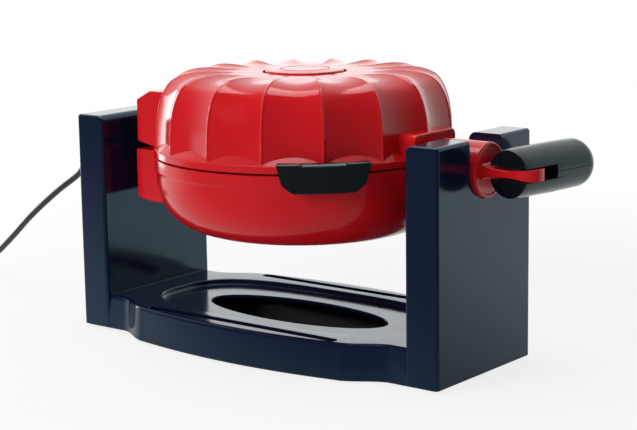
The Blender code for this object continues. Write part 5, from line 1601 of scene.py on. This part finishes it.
def latch_ear(offset: float, width: float, web: float, side: int) -> Shape:
    """Model one ear on the latch's axis: a round eye with a web.

    Args:
        offset: Its middle's distance along the axis.
        width: Its width along the axis.
        web: How far the web reaches, outwards if positive.
        side: 1 for an eye that faces outwards, -1 for one that faces inwards.

    Returns:
        The ear in its place.
    """
    radius = AT.latch_eye
    eye = arc((0.0, 0.0), radius, -90 * side, 90 * side, steps=12)
    outline = [(web, -radius * side), *eye, (web, radius * side)]
    return Shape.extruded(outline, offset - width / 2, offset + width / 2, Axis.Y).moved(latch_frame())


@dataclass
class Latch:
    """The clip that hinges low on the bowl and hooks over the lid's flange, with a raised middle."""

    half_angle: float = 15.9
    stations: int = 97
    thickness: float = 0.003
    stand_off: float = 0.0095
    drop: float = 0.0140
    corner_rise: float = 0.007
    corner_share: float = 0.7
    corner: float = 0.0012
    chamfer: float = 0.0004
    hook_lip: float = 0.0028
    hook_gap: float = 0.0004
    hook_edge: float = 0.0002
    hook_rounding: float = 0.0014
    brow: Pair = (0.0042, 0.0038)
    brow_power: float = 1.4
    brow_loss: float = 0.6
    taper: float = 0.09
    pad_share: float = 0.46
    pad_blend: float = 0.04
    pad_depth: float = 0.0005
    pad_edge: Pair = (0.0006, 0.0014)
    knuckle_width: float = 0.010
    knuckle_web: float = 0.0047

    def section(self, share: float) -> list[Pair]:
        """List the latch's section: the hook, the brow above the pad, and the skirt down to its lower edge.

        Args:
            share: How far from its middle, -1 to 1.

        Returns:
            The section as (radius, height) points.
        """
        outer, chamfer, rounding = AT.rim_radius + self.stand_off, self.chamfer, self.hook_rounding
        inner = outer - self.thickness
        under = AT.lid_base + AT.flange_height + self.hook_gap
        high = under + self.hook_lip
        tip = AT.ridge_radius + AT.flange_edge + self.hook_gap
        past = max(0.0, (abs(share) - self.corner_share) / (1 - self.corner_share))
        low = AT.flip_height - self.drop + self.corner_rise * past ** 2
        beside = clamped((abs(share) - self.pad_share) / self.pad_blend)
        face = outer - self.pad_depth * eased(beside)
        points = [(tip, under + self.hook_edge)]
        points += arc((tip + rounding, high - rounding), rounding, 180, 90, steps=5)
        size, bend = 1.0 - self.brow_loss * beside, 2 / self.brow_power
        for step in range(11):
            angle = math.pi / 2 * step / 10
            points.append((outer - self.brow[0] * size * (1 - math.sin(angle) ** bend),
                           high - self.brow[1] * size * (1 - math.cos(angle) ** bend)))
        brow = high - self.brow[1]
        points += [(outer, brow - self.pad_edge[0]), (face, brow - self.pad_edge[1])]
        points += arc((face - self.corner, low + self.corner), self.corner, 0, -90, steps=5)
        return points + [(inner + chamfer, low), (inner, low + chamfer), (inner, under - chamfer),
                         (inner - chamfer, under)]

    def build(self) -> None:
        """Model the latch as sections round the rim, narrower towards its lower edge, with its knuckle."""
        rings = []
        for index in range(self.stations):
            share = 2 * index / (self.stations - 1) - 1
            section = self.section(share)
            high = max(height for _, height in section)
            ring = []
            for radius, height in section:
                narrowed = share * (1.0 - self.taper * (high - height) / self.drop)
                angle = AT.latch_azimuth + math.radians(self.half_angle) * narrowed
                ring.append((AT.mould_x + radius * math.cos(angle), radius * math.sin(angle), height))
            rings.append(ring)
        shape = Shape.stacked(rings).joined(latch_ear(0.0, self.knuckle_width, self.knuckle_web, -1))
        shape.piece("latch_clip", "latch", BLACK_SATIN, "latch", edge=0.0004, sharp=50)


@dataclass
class Handle:
    """The folding grip: an upper and a lower half with a fork for the tongue."""

    radius: float = 0.0204
    swell: float = 0.0004
    front: float = 0.012
    length: float = 0.0945
    end_inset: float = 0.0016
    end_rounding: float = 0.0010
    dome: float = 0.014
    dome_power: float = 0.6
    dome_steps: int = 18
    angle: float = 8.0
    fork_depth: float = 0.0263
    fork_half: float = 0.0055

    def barrel(self) -> Shape:
        """Model the grip's whole barrel, flat at the near end and domed at the far end.

        Returns:
            The barrel.
        """
        radius, rounding, near, far = self.radius, self.end_rounding, -self.front, self.length - self.front
        profile = [(0.0, near), (radius - self.end_inset, near),
                   *arc((radius - self.end_inset, near + rounding), rounding, -75, 0, steps=5),
                   (radius, near / 3), (radius + self.swell, (far + near) / 2)]
        for index in range(self.dome_steps):
            angle = math.pi / 2 * index / self.dome_steps
            travel = far - self.dome * (1 - math.sin(angle))
            profile.append((radius * math.cos(angle) ** self.dome_power, travel))
        shape = Shape.spun([*profile, (0.0, far)], (AT.handle_x, 0.0, AT.flip_height), Axis.Y, steps=112)
        reach = radius + OVERRUN
        low, high = AT.flip_height - self.fork_half, AT.flip_height + self.fork_half
        return shape.cut(Shape.block((AT.handle_x - reach, near - OVERRUN, low),
                                     (AT.handle_x + reach, self.fork_depth, high)))

    def half(self, name: str, node: str, side: int) -> None:
        """Keep the upper or the lower half of the barrel.

        Args:
            name: The piece's name.
            node: The solid that it stands for.
            side: 1 for the upper half, -1 for the lower.
        """
        shape = self.barrel()
        pin = Vector((AT.handle_x, 0.0, AT.flip_height))
        bm = shape.tidied().bm
        plane = Vector((AT.handle_x, 0.0, AT.flip_height + side * AT.seat / 2))
        cut = bmesh.ops.bisect_plane(bm, geom=bm.verts[:] + bm.edges[:] + bm.faces[:], plane_co=plane,
                                     plane_no=Vector((0, 0, side)), clear_inner=True, dist=WELD)
        rim = [part for part in cut["geom_cut"] if isinstance(part, bmesh.types.BMEdge)]
        bmesh.ops.holes_fill(bm, edges=rim)
        turn = Matrix.Rotation(-math.radians(self.angle), 4, "Z")
        shape.moved(Matrix.Translation(pin) @ turn @ Matrix.Translation(-pin))
        shape.piece(name, "handle", BLACK_SATIN, node, edge=0.0004, sharp=50)

    def build(self) -> None:
        """Make both halves."""
        self.half("grip_upper", "handle_upper", 1)
        self.half("grip_lower", "handle_lower", -1)


@dataclass(frozen=True)
class Lamp:
    """A soft lamp: its place, its size, its watts, and whether glossy surfaces show it."""

    name: str
    place: Triple
    size: Pair
    power: float
    mirrored: bool = True

    def hang(self, target: Vector) -> None:
        """Hang the lamp.

        Args:
            target: What it points at.
        """
        data = bpy.data.lights.new(self.name, "AREA")
        data.shape = "RECTANGLE"
        data.size, data.size_y = self.size
        data.energy = self.power
        item = bpy.data.objects.new(self.name, data)
        bpy.context.scene.collection.objects.link(item)
        item.location = self.place
        item.visible_camera = False
        item.visible_glossy = self.mirrored
        item.rotation_euler = (target - Vector(self.place)).to_track_quat("-Z", "Y").to_euler()


@dataclass
class Studio:
    """The camera at the photograph's angle, the pale floor, the lamps and the white surround."""

    place: Triple = (0.93997, -1.19868, 0.40518)
    yaw: float = -0.66707
    pitch: float = -0.18600
    roll: float = -0.015111
    lens: float = 99.69
    sensor: float = 36.0
    clip: Pair = (0.05, 30.0)
    floor_size: float = 4.0
    floor_tone: float = 0.82
    floor_roughness: float = 0.9
    floor_shine: float = 0.9
    near_fade: Pair = (0.35, 0.95)
    near_share: float = 0.82
    # Where the painted shade under the stand's footprint fades in.
    under_fade: Pair = (0.9, 1.0)
    rear_aim: Triple = (-0.45, 0.89, 0.05)
    # Where the floor's painted glow in reflections starts and ends, from front to rear.
    floor_rear: Pair = (-0.35, 0.25)
    sky_rear: Pair = (-0.35, 0.75)
    glow: Pair = (0.08, 1.0)
    fill: float = 0.20
    target: Triple = (0.0, 0.0, 0.14)
    lamps: tuple[Lamp, ...] = (
        Lamp("lamp_key", (-0.42, -1.58, 0.90), (0.8, 0.8), 17.0, False),
        Lamp("lamp_top", (-0.2, 0.1, 1.7), (1.2, 1.2), 14.0),
        Lamp("lamp_left", (-0.92, 0.12, 0.20), (0.36, 0.34), 1.4),
        Lamp("lamp_rear", (-0.9, 1.5, 0.40), (2.2, 0.7), 2.2))

    def make_camera(self) -> None:
        """Set up the camera."""
        data = bpy.data.cameras.new("camera")
        data.lens = self.lens
        data.sensor_width = self.sensor
        data.clip_start, data.clip_end = self.clip
        item = bpy.data.objects.new("camera", data)
        bpy.context.scene.collection.objects.link(item)
        flat = math.cos(self.pitch)
        look = Vector((math.sin(self.yaw) * flat, math.cos(self.yaw) * flat, math.sin(self.pitch)))
        right = look.cross(Vector((0, 0, 1))).normalized()
        up = right.cross(look)
        cos, sin = math.cos(self.roll), math.sin(self.roll)
        turn = Matrix((right * cos + up * sin, up * cos - right * sin, -look)).transposed().to_4x4()
        item.matrix_world = Matrix.Translation(self.place) @ turn
        bpy.context.scene.camera = item

    def rear_glow(self, bench: NodeBench, place: Socket, source: Pair) -> Socket:
        """Add a glow that grows from the front of a place to its rear.

        Args:
            bench: The tree to add to.
            place: The place or direction.
            source: Where the glow starts and ends.

        Returns:
            The glow's socket.
        """
        toward = bench.add("VectorMath", "Value", {0: place, 1: self.rear_aim}, operation="DOT_PRODUCT")
        return bench.ranged(toward, source, self.glow, Fade.SMOOTH)

    def floor_glow(self, bench: NodeBench) -> Socket:
        """Add how much of the floor's white the camera sees: less near the object, and none under the stand,
        a painted shade in the shape of its footprint over the floor's rendered shade there.

        Args:
            bench: The tree to add to.

        Returns:
            The share's socket.
        """
        place = bench.add("TexCoord", "Object", {})
        scale = (AT.outer_face, AT.half_depth, 1.0)
        under = bench.add("Mapping", "Vector", {"Vector": place, "Location": SHIFT, "Scale": scale},
                          vector_type="TEXTURE")
        reach = bench.add("VectorMath", "Value", {0: place}, operation="LENGTH")
        inside = bench.add("VectorMath", "Value", {0: under}, operation="LENGTH")
        far = bench.ranged(reach, self.near_fade, (self.near_share, 1.0), Fade.SMOOTH)
        # Painted shade: a mask the shape of the stand's footprint fades the floor's white out under it,
        # leaving the floor's rendered shade.
        clear = bench.ranged(inside, self.under_fade, (0.0, 1.0), Fade.SMOOTH)
        return bench.worked(Work.PRODUCT, far, clear)

    def floor_material(self) -> bpy.types.Material:
        """Wire the floor's material: white to the camera, with the object's soft shadow, and in reflections a
        painted glow, white at the rear and dim in front.

        Returns:
            The material.
        """
        material = bpy.data.materials.new("pale_floor")
        material.use_nodes = True
        tree = material.node_tree
        bench = NodeBench(tree)
        shader = tree.nodes["Principled BSDF"]
        shader.inputs["Base Color"].default_value = (self.floor_tone, self.floor_tone, self.floor_tone, 1.0)
        shader.inputs["Roughness"].default_value = self.floor_roughness
        shader.inputs["Specular IOR Level"].default_value = 0.0
        seen = bench.worked(Work.PRODUCT, bench.ray(Ray.CAMERA), self.floor_glow(bench))
        shine = bench.worked(Work.PRODUCT, bench.ray(Ray.GLOSSY), self.floor_shine)
        # Painted light: in reflections the floor glows brighter towards the rear and dimmer in front, as if
        # the lamps lit its rear.
        rear = self.rear_glow(bench, bench.add("TexCoord", "Object", {}), self.floor_rear)
        bright = bench.worked(Work.LARGER, bench.ray(Ray.CAMERA), rear)
        glow = bench.add("Emission", "Emission", {"Strength": bright})
        share = bench.worked(Work.LARGER, seen, shine)
        both = bench.add("MixShader", "Shader", {0: share, 1: shader.outputs["BSDF"], 2: glow})
        tree.links.new(both, tree.nodes["Material Output"].inputs["Surface"])
        return material

    def make_floor(self) -> None:
        """Lay the floor."""
        bm = bmesh.new()
        bmesh.ops.create_grid(bm, x_segments=2, y_segments=2, size=self.floor_size)
        mesh = bpy.data.meshes.new("floor")
        bm.to_mesh(mesh)
        bm.free()
        mesh.materials.append(self.floor_material())
        item = bpy.data.objects.new("floor", mesh)
        bpy.context.scene.collection.objects.link(item)

    def make_world(self) -> None:
        """Make the surround white to the camera, and for reflections bright behind and dim in front."""
        world = bpy.data.worlds.new("surround")
        bpy.context.scene.world = world
        world.use_nodes = True
        bench = NodeBench(world.node_tree)
        background = world.node_tree.nodes["Background"]
        background.inputs["Color"].default_value = (1.0, 1.0, 1.0, 1.0)
        rear = self.rear_glow(bench, bench.add("TexCoord", "Generated", {}), self.sky_rear)
        shine = bench.worked(Work.LARGER, bench.ray(Ray.GLOSSY), bench.ray(Ray.TRANSMISSION))
        shown = bench.worked(Work.LARGER, bench.worked(Work.PRODUCT, shine, rear), bench.ray(Ray.CAMERA))
        fill = bench.worked(Work.PRODUCT, bench.ray(Ray.DIFFUSE), self.fill)
        bench.feed(background.inputs["Strength"], bench.worked(Work.LARGER, shown, fill))

    def build_light(self) -> None:
        """Make the floor, the surround and the lamps, and show colours as they are written."""
        self.make_floor()
        self.make_world()
        for lamp in self.lamps:
            lamp.hang(Vector(self.target))
        bpy.context.scene.view_settings.view_transform = "Standard"


def main() -> None:
    """Build the camera, the cord, the sub-assemblies and the studio in order."""
    logging.basicConfig(level=logging.INFO, format="%(name)s: %(message)s")
    studio = Studio()
    studio.make_camera()
    PowerCord().build()
    Stand().build()
    Bowl().build()
    Lid().build()
    Latch().build()
    Handle().build()
    for name, finish in CARRIED_NODES.items():
        finish.dress(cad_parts[name])
    studio.build_light()


if __name__ == "__main__":
    main()
